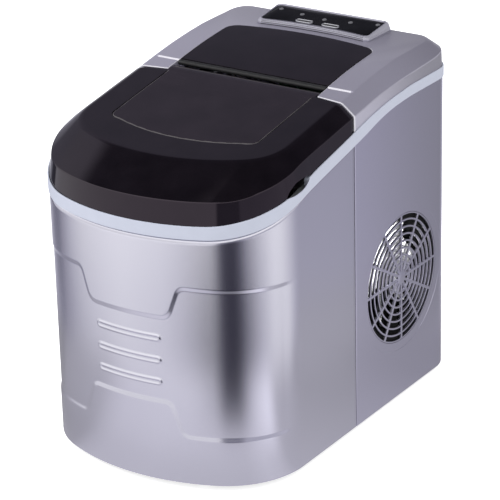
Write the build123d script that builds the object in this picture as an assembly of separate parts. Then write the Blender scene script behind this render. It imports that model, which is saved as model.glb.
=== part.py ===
from build123d import *
import math
import os

# Countertop bullet-ice maker.  Millimetres, +Z up, front faces -Y, +X to the right.
# Origin: middle of the footprint, on the plane that the feet stand on.

# ------------------------------------------------------------------ driving dimensions
BODY_W = 242.0            # cabinet width over the side walls
BODY_D = 346.0            # cabinet depth over front and back walls
BODY_Z0 = 6.0             # lower edge of the cabinet walls
FRONT_R = 189.03          # big front radius in plan
FRONT_CY = 16.03          # centre of the big front radius
CORNER_R = 75.41          # front corner radius in plan
CORNER_CX = 45.59
CORNER_CY = -88.04
REAR_R = 27.0             # rear corner radius in plan
WALL = 3.0                # shell wall
SEAM_Y = 0.4              # vertical seam between front panel and rear housing
BAND_PROUD = 1.0          # trim band stands proud of the walls
BAND_IN = 5.0             # trim band reaches inwards
SKIRT_IN = 0.6            # lid and cover skirts stand back from the walls

# height profiles (Y, Z) seen from the side
P_BAND_LO = [(-174, 232.5), (-160, 232.9), (-140, 236.6), (-120, 242.2), (-100, 248.8), (-80, 254.9),
             (-60, 259.8), (-40, 264.4), (-20, 268.9), (0, 273.4), (20, 278.2), (40, 283.6), (60, 287.3),
             (80, 289.2), (100, 290.0), (174, 290.0)]
P_BAND_HI = [(-174, 244.0), (-160, 244.7), (-140, 249.0), (-120, 254.6), (-100, 260.4), (-80, 266.4),
             (-60, 271.9), (-40, 276.3), (-20, 280.6), (0, 285.1), (20, 289.7), (40, 293.4), (60, 296.3),
             (80, 298.1), (100, 299.4), (174, 299.6)]
P_SKIRT = [(-174, 265.2), (0, 299.2), (20, 303.1), (40, 306.4), (60, 308.8), (80, 310.0), (100, 310.3),
           (174, 310.3)]
P_FLAT = [(0, 306.1), (6, 307.0), (27, 310.6), (60, 315.8), (90, 319.0), (107, 320.2), (126, 320.5),
          (174, 320.5)]
SKIRT_A, SKIRT_B = 299.2, 0.1955     # lid: skirt top plane z = A + B*y
FLAT_A, FLAT_B = 306.1, 0.162        # lid: flat top plane z = A + B*y
FLAT_HALF_W = 105.0                  # half width of the flat top
LID_T = 2.8                          # lid wall

# hinge of the lid
HINGE_Y, HINGE_Z = 17.5, 303.2
HINGE_NOSE_R = 5.5
HINGE_PIN_R = 1.75
TONGUE_HALF_W = 77.4
CHEEK_IN = 78.2
TONGUE_GAP_Y = 23.4

# rear window panel
RW_HALF_W, RW_Y0, RW_Y1 = 77.0, 23.8, 119.3   # RW_Y1 on the centre line
RW_REAR_R = 300.0         # bow of its rear edge in plan
RW_CORNER_R = 13.0

# control console
CON_HALF_W_FRONT, CON_HALF_W_REAR = 60.4, 64.6   # at the foot, wider to the rear
CON_TOP_HALF_W = 58.4     # at the top, the ends being sloped
CON_Y0, CON_Y1 = 128.0, 168.4                    # front on the centre line
CON_FRONT_R = 430.0       # bow of the front lip in plan
CON_PLATE_W, CON_PLATE_V0, CON_PLATE_V1 = 114.0, 1.9, 30.5   # along the sloping face, front on the centre line
CON_PLATE_R = 380.0       # bow of the front edge of the plate
CON_FACE_Y, CON_FACE_Z = 130.7, 324.8
CON_TILT = 6.75
BTN_L, BTN_W = 18.0, 5.8
BTN_TRAVEL = 1.0
BTN_X = (-14.4, 13.6)
BTN_V = 5.7
LENS_R = 2.2

# fan and grille, right-hand side
FAN_Y, FAN_Z = 80.4, 121.4
GRILLE_R = 59.5
FAN_R = 50.0

# ice machine
TRAY_Y, TRAY_Z = 40.0, 254.0
TRAY_RI, TRAY_RO = 24.0, 26.0
TRAY_HALF_L = 78.0
SHOVEL_Y, SHOVEL_Z = -8.0, 272.0
SHAFT_R = 3.0
RUN = 0.05                # running clearance of shafts
FINGERS = 9
FINGER_PITCH = 16.0
FINGER_R = 4.5
EVAP_Z = 290.0
EVAP_R = 5.0

# tub and basket
TUB_IN = 9.0
TUB_T = 2.5
TUB_Z0 = 28.0
BASKET_IN = 23.0
BASKET_Z0, BASKET_Z1 = 110.0, 183.0
BASKET_Y1 = -32.0

# drain
DRAIN_Y, DRAIN_Z = -60.0, 43.0

# compressor
CMP_X, CMP_Y, CMP_R = -58.0, 92.0, 46.0

os.makedirs("parts", exist_ok=True)
NODES = {}


# ------------------------------------------------------------------ helpers
def put(name, shape):
    solids = shape if isinstance(shape, list) else [shape]
    flat = []
    for s in solids:
        flat += list(s.solids())
    flat = [s for s in flat if s.volume > 0.05]
    NODES[name] = flat
    body = flat[0] if len(flat) == 1 else Compound(children=flat)
    export_step(body, os.path.join("parts", name + ".step"))
    print(name, len(flat), round(sum(s.volume for s in flat), 1))
    return shape


def box(x0, x1, y0, y1, z0, z1):
    return Pos((x0 + x1) / 2, (y0 + y1) / 2, (z0 + z1) / 2) * Box(x1 - x0, y1 - y0, z1 - z0)


def cyl_z(x, y, z0, z1, r):
    return Pos(x, y, (z0 + z1) / 2) * Cylinder(r, z1 - z0)


def cyl_x(y, z, x0, x1, r):
    return Pos((x0 + x1) / 2, y, z) * Rot(0, 90, 0) * Cylinder(r, x1 - x0)


def cyl_y(x, z, y0, y1, r):
    return Pos(x, (y0 + y1) / 2, z) * Rot(90, 0, 0) * Cylinder(r, y1 - y0)


def plan_points(off):
    """Key points of the cabinet outline, grown by off."""
    ux = CORNER_CX / (FRONT_R - CORNER_R)
    uy = (CORNER_CY - FRONT_CY) / (FRONT_R - CORNER_R)
    tx, ty = (FRONT_R + off) * ux, FRONT_CY + (FRONT_R + off) * uy
    a_mid = math.atan2(uy, ux) / 2
    r = CORNER_R + off
    mx, my = CORNER_CX + r * math.cos(a_mid), CORNER_CY + r * math.sin(a_mid)
    hw = BODY_W / 2 + off
    yr = BODY_D / 2 + off
    rr = max(REAR_R + off, 1.0)
    k = rr * (1 - math.sqrt(0.5))
    return dict(tx=tx, ty=ty, fy=FRONT_CY - FRONT_R - off, mx=mx, my=my, hw=hw, yr=yr, rr=rr, k=k)


def outline(off=0.0, z=0.0):
    p = plan_points(off)
    tx, ty, hw, yr, rr, k = p["tx"], p["ty"], p["hw"], p["yr"], p["rr"], p["k"]
    e = [ThreePointArc((-tx, ty, z), (0, p["fy"], z), (tx, ty, z)),
         ThreePointArc((tx, ty, z), (p["mx"], p["my"], z), (hw, CORNER_CY, z)),
         Line((hw, CORNER_CY, z), (hw, yr - rr, z)),
         ThreePointArc((hw, yr - rr, z), (hw - k, yr - k, z), (hw - rr, yr, z)),
         Line((hw - rr, yr, z), (-hw + rr, yr, z)),
         ThreePointArc((-hw + rr, yr, z), (-hw + k, yr - k, z), (-hw, yr - rr, z)),
         Line((-hw, yr - rr, z), (-hw, CORNER_CY, z)),
         ThreePointArc((-hw, CORNER_CY, z), (-p["mx"], p["my"], z), (-tx, ty, z))]
    return Face(Wire(e))


def prism(off, z0, z1):
    return extrude(outline(off, z0), amount=z1 - z0, dir=(0, 0, 1))


def ring(off_out, off_in, z0, z1):
    return prism(off_out, z0, z1) - prism(off_in, z0 - 1, z1 + 1)


def yz_solid(pts, x0, x1):
    """Straight-sided polygon in the YZ plane, extruded along X."""
    w = Wire.make_polygon([(x0, y, z) for y, z in pts], close=True)
    return extrude(Face(w), amount=x1 - x0, dir=(1, 0, 0))


def xz_solid(pts, y0, y1):
    w = Wire.make_polygon([(x, y0, z) for x, z in pts], close=True)
    return extrude(Face(w), amount=y1 - y0, dir=(0, 1, 0))


def xy_solid(pts, z0, z1):
    w = Wire.make_polygon([(x, y, z0) for x, y in pts], close=True)
    return extrude(Face(w), amount=z1 - z0, dir=(0, 0, 1))


def under(profile, dz=0.0, hx=200.0):
    """Everything below a side profile."""
    pts = [(y, z + dz) for y, z in profile]
    y0, y1 = pts[0][0], pts[-1][0]
    sp = Spline(*[(-hx, y, z) for y, z in pts], tangents=((0, 1, (pts[1][1] - pts[0][1]) / (pts[1][0] - y0)), (0, 1, 0)))
    w = Wire([sp,
              Line((-hx, y1, pts[-1][1]), (-hx, y1 + 30, pts[-1][1])),
              Line((-hx, y1 + 30, pts[-1][1]), (-hx, y1 + 30, -60)),
              Line((-hx, y1 + 30, -60), (-hx, y0 - 30, -60)),
              Line((-hx, y0 - 30, -60), (-hx, y0 - 30, pts[0][1])),
              Line((-hx, y0 - 30, pts[0][1]), (-hx, y0, pts[0][1]))])
    return extrude(Face(w), amount=2 * hx, dir=(1, 0, 0))


def stadium_x(cx, z, half_l, h, y0, y1):
    """Stadium in the XZ plane, long side along X, extruded along Y."""
    r = h / 2
    a, b = cx - half_l + r, cx + half_l - r
    e = [Line((a, y0, z - r), (b, y0, z - r)), ThreePointArc((b, y0, z - r), (b + r, y0, z), (b, y0, z + r)),
         Line((b, y0, z + r), (a, y0, z + r)), ThreePointArc((a, y0, z + r), (a - r, y0, z), (a, y0, z - r))]
    return extrude(Face(Wire(e)), amount=y1 - y0, dir=(0, 1, 0))


def pipe(points, r, bend):
    path = FilletPolyline(*points, radius=bend)
    start = path @ 0
    sec = Plane(origin=start, z_dir=path % 0) * Circle(r)
    return sweep(sec, path=path)


# ------------------------------------------------------------------ cabinet
below_band = under(P_BAND_LO, -0.05)
below_band_lo = under(P_BAND_LO)
below_band_hi = under(P_BAND_HI)
above_band_hi = box(-200, 200, -220, 220, 100, 420) - under(P_BAND_HI, 0.1)

# base tray with an upstanding rim and posts for the tub
base = prism(-3.4, 6.4, 9.4) + ring(-3.4, -5.8, 9.0, 20.0)
for sx in (-1, 1):
    for y in (-112.0, -30.0):
        base += cyl_z(sx * 62, y, 9.0, TUB_Z0, 7.0)
put("base_tray", base)

feet = []
for x, y in ((-84, -100), (84, -100), (-90, 138), (90, 138)):
    f = Pos(x, y, 3.2) * Cone(11.0, 13.0, 6.4)
    feet.append(f)
put("rubber_feet", feet)

# front panel: sheet shell with a shallow waist and three raised ribs, each with a groove along its middle
shell = ring(0.0, -WALL, BODY_Z0, 330.0) & below_band
front = shell & box(-200, 200, -220, SEAM_Y - 0.3, 0, 400)
waist = [(-117.0, 185.0), (-100, 185.6), (-50.0, 187.8), (-40.0, 159.3), (40.0, 159.3), (50.0, 187.8), (100, 185.6), (117.0, 185.0),
         (117.0, 48.3), (100, 49.0), (51.1, 50.8), (40.1, 81.5), (-40.1, 81.5), (-51.1, 50.8), (-100, 49.0), (-117.0, 48.3)]
front -= ring(1.0, -1.6, 20, 220) & xz_solid(waist, -190, -108)
for z in (139.8, 119.4, 99.2):
    front += ring(-0.3, -1.8, 60, 170) & stadium_x(0, z, 32.0, 7.0, -190, -120)
    front -= ring(1.0, -0.9, 60, 170) & stadium_x(0, z, 29.6, 2.2, -190, -120)
front -= cyl_x(DRAIN_Y, DRAIN_Z, -130, -110, 15.3)
put("front_panel", front)

# rear housing: both sides behind the seam and the back
rear = shell & box(-200, 200, SEAM_Y + 0.3, 220, 0, 400)
rear -= cyl_x(FAN_Y, FAN_Z, 110, 130, GRILLE_R + 1.3)
for i in range(9):
    z = 62 + i * 13.0
    rear -= Pos(-120, 92, z) * Box(12, 78, 5.0)
for i in range(7):
    z = 150 + i * 12.0
    rear -= Pos(0, 172, z) * Box(96, 12, 4.5)
rear -= cyl_y(82, 34, 160, 190, 8.2)
put("rear_housing", rear)

# fan grille: frame, rings and spokes
gx0, gx1 = 118.4, 121.0
gr = cyl_x(FAN_Y, FAN_Z, gx0, gx1, GRILLE_R + 1.0) - cyl_x(FAN_Y, FAN_Z, gx0 - 1, gx1 + 1, GRILLE_R - 1.6)
for i in range(7):
    r = 14.5 + i * 6.6
    gr += cyl_x(FAN_Y, FAN_Z, gx0, gx1 - 0.3, r + 0.8) - cyl_x(FAN_Y, FAN_Z, gx0 - 1, gx1 + 1, r - 0.8)
for k in range(6):
    gr += Pos((gx0 + gx1) / 2, FAN_Y, FAN_Z) * Rot(30 * k, 0, 0) * Box(gx1 - gx0, 2 * GRILLE_R - 1.0, 2.4)
gr += cyl_x(FAN_Y, FAN_Z, gx0, gx1 - 0.3, 6.0)
put("fan_grille", gr)

# trim band with a finger notch on each side
NOTCH_BAND = [(-104.5, 259.4), (-101.5, 259.75), (-95.5, 259.8), (-88.4, 260.4), (-83.7, 261.1), (-79.1, 262.6), (-75.1, 264.4),
              (-73.0, 266.4), (-72.4, 268.8), (-72.4, 285.0), (-104.5, 285.0)]
NOTCH_LID = [(-103.6, 259.0), (-100.9, 264.2), (-97.1, 267.0), (-91.6, 269.9), (-85.6, 270.7), (-79.4, 270.9), (-73.9, 271.2),
             (-70.0, 270.4), (-68.0, 269.0), (-68.0, 240.0), (-103.6, 240.0)]
band = (ring(BAND_PROUD, -BAND_IN, 200, 330) & below_band_hi) - below_band_lo
for sx in (-1, 1):
    band -= yz_solid(NOTCH_BAND, min(sx * 100, sx * 130), max(sx * 100, sx * 130))
put("top_trim_band", band)

# cord gland in the back wall
gl = cyl_y(82, 34, 158, 173.05, 8.0) + cyl_y(82, 34, 173.0, 173.9, 11.0)
gl += cyl_y(82, 34, 164.5, 169.9, 10.5)
gl -= cyl_y(82, 34, 150, 180, 3.6)
put("cord_gland", gl)

# ------------------------------------------------------------------ top cover
def cover_core(drop, inset, y_min):
    secs = []
    stations = (y_min, 20, 40, 60, 80, 100, 126, 176)
    def interp(prof, y):
        if y <= prof[0][0]:
            (a, za), (b, zb) = prof[0], prof[1]
            return za + (zb - za) * (y - a) / (b - a)
        for (a, za), (b, zb) in zip(prof, prof[1:]):
            if a <= y <= b:
                return za + (zb - za) * (y - a) / (b - a)
        return prof[-1][1]
    for y in stations:
        zs, zf = interp(P_SKIRT, y) - drop, interp(P_FLAT, y) - drop
        hx = BODY_W / 2 + 6
        slope = (zf - zs) / (BODY_W / 2 - SKIRT_IN - FLAT_HALF_W)
        w = Wire.make_polygon([(-hx, y, 270), (hx, y, 270), (hx, y, zs - slope * (hx - (BODY_W / 2 - SKIRT_IN - inset))),
                               (FLAT_HALF_W - inset * 0.6, y, zf), (-FLAT_HALF_W + inset * 0.6, y, zf),
                               (-hx, y, zs - slope * (hx - (BODY_W / 2 - SKIRT_IN - inset)))], close=True)
        secs.append(Face(w))
    return loft(secs, ruled=True)


cover_plan = [(-130, 1.4), (-121, 1.4), (-104.2, 6.6), (-CHEEK_IN, 9.8), (-CHEEK_IN, TONGUE_GAP_Y), (CHEEK_IN, TONGUE_GAP_Y),
              (CHEEK_IN, 9.8), (104.2, 6.6), (121, 1.4), (130, 1.4), (130, 190), (-130, 190)]
lid_plan = [(-130, 0.4), (-121, 0.4), (-104.2, 5.6), (-TONGUE_HALF_W, 8.7), (TONGUE_HALF_W, 8.7), (104.2, 5.6), (121, 0.4),
            (130, 0.4), (130, -190), (-130, -190)]
cov_out = cover_core(0.0, 0.0, -4) & prism(-SKIRT_IN, 260, 340) & above_band_hi
cov_in = cover_core(3.0, 3.0, -4) & prism(-SKIRT_IN - 3.0, 240, 340)
cover = (cov_out - cov_in) & xy_solid(cover_plan, 240, 360)
# rebate and seat for the rear window panel
def rw_plan(grow, y0, z0, z1, corner):
    """Plan of the rear window panel, grown by grow, from y0 back to its bowed rear edge."""
    sk = Pos(0, (y0 + RW_Y1 + 20) / 2) * Rectangle(2 * (RW_HALF_W + grow), RW_Y1 + 20 - y0)
    sk = sk & (Pos(0, RW_Y1 - RW_REAR_R) * Circle(RW_REAR_R + grow))
    sk = fillet(sk.vertices().sort_by(Axis.Y)[-2:], corner)
    return Pos(0, 0, z0) * extrude(sk, amount=z1 - z0, dir=(0, 0, 1))


rw_cut = rw_plan(0.4, 15.0, 290, 345, RW_CORNER_R + 0.4)
seat = (under(P_FLAT, -2.7) - under(P_FLAT, -5.0)) & (rw_plan(3.0, RW_Y0 + 5.2, 290, 345, RW_CORNER_R + 3.0)
                                                   - rw_plan(-5.0, RW_Y0 + 3, 280, 350, RW_CORNER_R - 5.0))
cover = (cover - rw_cut) + seat
# opening below the control console
cover -= box(-51, 51, 133.0, 156.0, 300, 345)
put("top_cover", cover)

# smoked rear window panel with a rounded front nose
rw = (under(P_FLAT, 0.7) - under(P_FLAT, -2.5)) & rw_plan(0.0, RW_Y0 + 2, 290, 345, RW_CORNER_R)
rw += cyl_x(RW_Y0 + 2.2, 309.0, -RW_HALF_W, RW_HALF_W, 2.2)
put("rear_window_panel", rw)

# hinge brackets under the cheeks
brackets = []
for sx in (-1, 1):
    xa, xb = sx * (CHEEK_IN + 0.3), sx * 90.0
    b = box(min(xa, xb), max(xa, xb), 12.5, 22.5, 295.5, 312) & cov_in
    brackets.append(b - cyl_x(HINGE_Y, HINGE_Z, -100, 100, HINGE_PIN_R + RUN))
put("hinge_brackets", brackets)

# ------------------------------------------------------------------ lid
def tilted(off, a, b, front_shift=0.0, y_back=30.0, hw=None):
    """Closed lid outline on the plane z = a + b*y."""
    p = plan_points(off)
    tx, ty, fy, mx, my, cy, h = p["tx"], p["ty"], p["fy"], p["mx"], p["my"], CORNER_CY, p["hw"]
    def P(x, y):
        return (x, y, a + b * y)
    e = [ThreePointArc(P(-tx, ty), P(0, fy), P(tx, ty)), ThreePointArc(P(tx, ty), P(mx, my), P(h, cy)),
         Line(P(h, cy), P(h, y_back)), Line(P(h, y_back), P(-h, y_back)), Line(P(-h, y_back), P(-h, cy)),
         ThreePointArc(P(-h, cy), P(-mx, my), P(-tx, ty))]
    return Face(Wire(e))


def flat_top(off, a, b, y_back=30.0):
    """Outline of the flat top of the lid, grown by off."""
    h = FLAT_HALF_W + off
    def P(x, y):
        return (x, y, a + b * y)
    fx, fy = 80.0 + 0.5 * off, -110.5 - 0.85 * off
    cx, cy = 97.5 + 0.85 * off, -94.0 - 0.5 * off
    e = [ThreePointArc(P(-fx, fy), P(0, -128.5 - off), P(fx, fy)), ThreePointArc(P(fx, fy), P(cx, cy), P(h, -70.0)),
         Line(P(h, -70.0), P(h, y_back)), Line(P(h, y_back), P(-h, y_back)), Line(P(-h, y_back), P(-h, -70.0)),
         ThreePointArc(P(-h, -70.0), P(-cx, cy), P(-fx, fy))]
    return Face(Wire(e))


def lid_core(t):
    a1, a2 = SKIRT_A - 0.75 * t, FLAT_A - t
    top = loft([tilted(-SKIRT_IN - t, a1, SKIRT_B), flat_top(-0.4 * t, a2, FLAT_B)], ruled=True)
    skirt = extrude(tilted(-SKIRT_IN - t, a1, SKIRT_B), amount=70, dir=(0, 0, -1))
    return top + skirt


lid_gap = box(-200, 200, -220, 220, 100, 420) - under(P_BAND_HI, 0.5)
lid_out = lid_core(0.0) & lid_gap
lid_in = lid_core(LID_T)
lid = (lid_out - lid_in) & xy_solid(lid_plan, 200, 360)
tongue = yz_solid([(-12, FLAT_A - 12 * FLAT_B), (HINGE_Y, HINGE_Z + HINGE_NOSE_R), (HINGE_Y, HINGE_Z - HINGE_NOSE_R + 1.0),
                   (8.0, 299.6), (-12, FLAT_A - 12 * FLAT_B - 5.0)], -TONGUE_HALF_W, TONGUE_HALF_W)
lid += tongue
lid += cyl_x(HINGE_Y, HINGE_Z, -TONGUE_HALF_W, TONGUE_HALF_W, HINGE_NOSE_R)
for sx in (-1, 1):
    lid -= cyl_x(HINGE_Y, HINGE_Z, min(sx * 62, sx * 100), max(sx * 62, sx * 100), HINGE_PIN_R)
for sx in (-1, 1):
    lid -= yz_solid(NOTCH_LID, min(sx * 100, sx * 130), max(sx * 100, sx * 130))
put("lid_shell", lid)

pins = []
for sx in (-1, 1):
    pins.append(cyl_x(HINGE_Y, HINGE_Z, min(sx * 62, sx * 88), max(sx * 62, sx * 88), HINGE_PIN_R))
put("lid_hinge_pins", pins)

# inner frame of the lid, round the viewing window
frame_out = extrude(flat_top(-6.0, FLAT_A - LID_T - 2.2, FLAT_B, -13.0), amount=2.0, dir=(0, 0, 1))
win = extrude(flat_top(-30.0, FLAT_A - 20, FLAT_B, -22.0), amount=40, dir=(0, 0, 1))
put("lid_inner_frame", frame_out - win)

# ------------------------------------------------------------------ control console
con = yz_solid([(118.0, 320.6), (118.0, 323.7), (162.0, 328.9), (164.2, 328.5), (166.8, 327.0), (CON_Y1, 320.6)], -70, 70)
con = con & xz_solid([(-65.0, 320.0), (65.0, 320.0), (65.0, 320.8), (CON_TOP_HALF_W, 329.2), (-CON_TOP_HALF_W, 329.2), (-65.0, 320.8)], 110, 180)
con = con & xy_solid([(-CON_HALF_W_FRONT, 110), (CON_HALF_W_FRONT, 110), (CON_HALF_W_FRONT, 131.5), (CON_HALF_W_REAR, 162.0), (CON_HALF_W_REAR, 175),
                      (-CON_HALF_W_REAR, 175), (-CON_HALF_W_REAR, 162.0), (-CON_HALF_W_FRONT, 131.5)], 310, 340)
con -= cyl_z(0, CON_Y0 - CON_FRONT_R, 310, 340, CON_FRONT_R)
FP = Plane(origin=(0, CON_FACE_Y, CON_FACE_Z + 0.4), x_dir=(1, 0, 0), z_dir=(0, -math.sin(math.radians(CON_TILT)), math.cos(math.radians(CON_TILT))))


def face_plate(grow, z0, z1):
    """Outline of the black plate on the sloping face, grown by grow."""
    v0, v1 = -4.0, CON_PLATE_V1 + grow
    pl = Pos(0, (v0 + v1) / 2, (z0 + z1) / 2) * Box(CON_PLATE_W + 2 * grow, v1 - v0, z1 - z0)
    return FP * (pl - Pos(0, CON_PLATE_V0 - CON_PLATE_R, (z0 + z1) / 2) * Cylinder(CON_PLATE_R - grow, z1 - z0 + 2))


def oval(cx, cy, l, w, z0, z1):
    sk = Plane.XY.offset(z0) * Pos(cx, cy) * SlotOverall(l, w)
    return extrude(sk, amount=z1 - z0, dir=(0, 0, 1))


con -= face_plate(0.2, -1.5, 3.0)
con -= FP * (Pos(0, 15.1, -5) * Box(98, 23.4, 12.0))
for bx in BTN_X:
    con -= FP * oval(bx, BTN_V, BTN_L + 2.8, BTN_W + 1.8, -8, 2)
put("console_housing", con)

plate = face_plate(0.0, -1.5, -0.2)
LED_POS = [(-50.2, 23.2), (-24.7, 18.8), (1.0, 16.0), (27.0, 18.9), (53.2, 23.6)]
for bx in BTN_X:
    plate -= FP * oval(bx, BTN_V, BTN_L + 0.7, BTN_W + 0.7, -5, 5)
for x, v in LED_POS:
    plate -= FP * (Pos(x, v, 0) * Cylinder(LENS_R + 0.25, 10))
put("console_faceplate", plate)

for nm, bx in (("power_button", BTN_X[0]), ("select_button", BTN_X[1])):
    b = FP * oval(bx, BTN_V, BTN_L, BTN_W, -3.2, 0.7)
    b += FP * oval(bx, BTN_V, BTN_L + 2.0, BTN_W + 1.2, -3.2, -2.0)
    b += FP * (Pos(bx, BTN_V, -4.3) * Cylinder(1.6, 2.6))
    put(nm, b)

lenses = [FP * (Pos(x, v, -0.65) * Cylinder(LENS_R, 1.5)) for x, v in LED_POS]
put("indicator_lenses", lenses)

board = FP * (Pos(0, 13.1, -11.5) * Box(96, 22.3, 1.6))
for bx in BTN_X:
    board += FP * (Pos(bx, BTN_V, -9.7) * Box(6, 6, 3.0))
for x, v in LED_POS:
    if abs(x) < 47:
        board += FP * (Pos(x, v, -9.6) * Cylinder(1.5, 3.2))
put("display_board", board)

# ------------------------------------------------------------------ tub, basket and scoop
tub_cut = under(P_BAND_LO, -1.0)
tub_o = (prism(-TUB_IN, TUB_Z0, 300) & box(-200, 200, -200, 12, 0, 400)) + box(-109, 109, 11, 78, 186, 300)
tub_i = (prism(-TUB_IN - TUB_T, TUB_Z0 + TUB_T, 310) & box(-200, 200, -200, 9.5, 0, 400)) + box(-106.5, 106.5, 8, 75.5, 188.5, 310)
tub = ((tub_o - tub_i) & tub_cut) & box(-200, 200, -200, 200, 0, 272)
flange = (ring(-3.5, -TUB_IN - 1, 200, 300) & under(P_BAND_LO, -0.4) & box(-200, 200, -200, -4, 0, 272)) - under(P_BAND_LO, -2.6)
tub += flange
for sx in (-1, 1):
    tub += box(min(sx * 101, sx * 110.5), max(sx * 101, sx * 110.5), -92, -36, 176, 180)
tub -= cyl_x(DRAIN_Y, DRAIN_Z, -120, -100, 8.2)
put("inner_tub", tub)

# foam jacket round the lower tub
jk = (prism(-TUB_IN + 3.6, TUB_Z0 + 2, 215) - prism(-TUB_IN + 0.3, 0, 300)) & box(-200, 200, -200, 8, 0, 400)
jk -= cyl_x(DRAIN_Y, DRAIN_Z, -130, -100, 15.8)
put("foam_jacket", jk)

bk = prism(-BASKET_IN, BASKET_Z0, BASKET_Z1) & box(-200, 200, -200, BASKET_Y1, 0, 400)
bk -= prism(-BASKET_IN - 2.0, BASKET_Z0 + 2.0, BASKET_Z1 + 5) & box(-200, 200, -200, BASKET_Y1 - 2, 0, 400)
rim = (ring(-BASKET_IN + 6.0, -BASKET_IN - 1.0, BASKET_Z1 - 3, BASKET_Z1) & box(-200, 200, -200, BASKET_Y1, 0, 400))
rim += box(-98, 98, BASKET_Y1 - 1, BASKET_Y1 + 3, BASKET_Z1 - 3, BASKET_Z1)
bk += rim
holes = []
for i in range(-4, 5):
    for j in range(5):
        holes.append(Pos(i * 18.0, -132 + j * 20.0, BASKET_Z0 + 1) * Cylinder(4.0, 8))
bk -= holes
slots = []
for i in range(-4, 5):
    slots.append(Pos(i * 19.0, BASKET_Y1 - 1, 140) * Box(6, 12, 34))
for j in range(3):
    for sx in (-1, 1):
        slots.append(Pos(sx * 97, -78 + j * 16.0, 140) * Box(12, 6, 34))
bk -= slots
put("ice_basket", bk)

# scoop lying in the basket
sc = box(-30, 30, -128, -58, 112.05, 137) - box(-28, 28, -126, -50, 114, 140)
sc -= yz_solid([(-90, 137.5), (-50, 137.5), (-50, 121)], -40, 40)
sc = sc + Pos(0, -133, 133) * Box(20, 12, 8)
sc += box(-8, 8, -140.5, -127, 130, 136)
put("ice_scoop", sc)

# ice-full sensors on the tub walls
sens = [box(105.6, 109.45, -66, -54, 192, 202), box(-109.45, -105.6, -66, -54, 192, 202)]
put("ice_full_sensors", sens)
put("water_level_sensor", box(30, 46, 4.0, 9.45, 70, 112) + cyl_z(34, 6.5, 60, 71, 1.5) + cyl_z(42, 6.5, 60, 71, 1.5))

# drain socket and plug, left-hand side
ds = cyl_x(DRAIN_Y, DRAIN_Z, -121, -113.0, 15.0) - cyl_x(DRAIN_Y, DRAIN_Z, -125, -115, 12.6)
ds += cyl_x(DRAIN_Y, DRAIN_Z, -115, -107.0, 8.0)
ds -= cyl_x(DRAIN_Y, DRAIN_Z, -120, -100, 6.0)
put("drain_socket", ds)
dp = cyl_x(DRAIN_Y, DRAIN_Z, -118.0, -115.3, 11.0) + cyl_x(DRAIN_Y, DRAIN_Z, -115.5, -104.0, 6.0 - RUN)
dp += box(-120.6, -117.9, DRAIN_Y - 1.6, DRAIN_Y + 1.6, DRAIN_Z - 8, DRAIN_Z + 8)
put("drain_plug", dp)

# ------------------------------------------------------------------ ice machine
fr = []
side = [(-2, 190.5), (13.5, 190.5), (13.5, 188.6), (68, 188.6), (68, 284), (-18, 284), (-18, 260), (-2, 222)]
for sx in (-1, 1):
    p = yz_solid(side, min(sx * 84, sx * 88), max(sx * 84, sx * 88))
    p -= cyl_x(TRAY_Y, TRAY_Z, -100, 100, SHAFT_R + RUN)
    p -= cyl_x(SHOVEL_Y, SHOVEL_Z, -100, 100, SHAFT_R + RUN)
    fr.append(p)
mf = fr[0] - cyl_x(20, 272, -100, 0, 4.6)
mf = mf + fr[1] + box(-84, 84, 68 - 3, 68, 196, 206) + box(-84, 84, 68 - 3, 68, 280.4, 284)
put("mechanism_frame", mf)

# ice slide from the tray to the basket, with drip slots
sl = yz_solid([(12, 207), (12, 204.5), (-27, 185.0), (-27, 187.5)], -83.9, 83.9)
sl -= [Pos(i * 16.0, -8, 196) * Box(8, 22, 40) for i in range(-4, 5)]
put("ice_slide", sl)

# water tray: half-round trough with end discs and stub shafts
tr = cyl_x(TRAY_Y, TRAY_Z, -TRAY_HALF_L, TRAY_HALF_L, TRAY_RO) - cyl_x(TRAY_Y, TRAY_Z, -TRAY_HALF_L + 2, TRAY_HALF_L - 2, TRAY_RI)
tr &= box(-100, 100, 0, 80, 200, TRAY_Z)
ends = []
for sx in (-1, 1):
    tr += cyl_x(TRAY_Y, TRAY_Z, min(sx * 76, sx * 78), max(sx * 76, sx * 78), 7.0)
    tr += cyl_x(TRAY_Y, TRAY_Z, min(sx * 77, sx * (92 if sx > 0 else 87.5)), max(sx * 77, sx * (92 if sx > 0 else 87.5)), SHAFT_R)
put("water_tray", tr)

mot = box(88.2, 104.5, 24, 56, 236, 272) - cyl_x(TRAY_Y, TRAY_Z, 80, 93, SHAFT_R + RUN)
put("tray_motor", mot)

# ice shovel: comb paddle on a cross shaft
sh = cyl_x(SHOVEL_Y, SHOVEL_Z, -87.5, 87.5, SHAFT_R)
sh += box(-76, 76, SHOVEL_Y - 1.25, SHOVEL_Y + 1.25, SHOVEL_Z - 50, SHOVEL_Z)
sh -= [box(-68 + i * 16.0 - 4, -68 + i * 16.0 + 4, SHOVEL_Y - 4, SHOVEL_Y + 4, SHOVEL_Z - 60, SHOVEL_Z - 24) for i in range(0, 9) if True]
put("ice_shovel", sh)

# evaporator tube with finger pins
ev = pipe([(-72, 100, 262), (-72, 100, EVAP_Z), (-72, TRAY_Y, EVAP_Z), (72, TRAY_Y, EVAP_Z), (72, 100, EVAP_Z), (72, 100, 262)], EVAP_R, 13.0)
put("evaporator_tube", ev)
fg = []
for i in range(FINGERS):
    x = (i - (FINGERS - 1) / 2) * FINGER_PITCH * 0.86
    f = cyl_z(x, TRAY_Y, 240.0, EVAP_Z, FINGER_R) + Pos(x, TRAY_Y, 240.0) * Sphere(FINGER_R)
    fg.append(f - cyl_x(TRAY_Y, EVAP_Z, -90, 90, EVAP_R + 0.01))
put("evaporator_fingers", [max(f.solids(), key=lambda s: s.volume) for f in fg])

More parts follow.
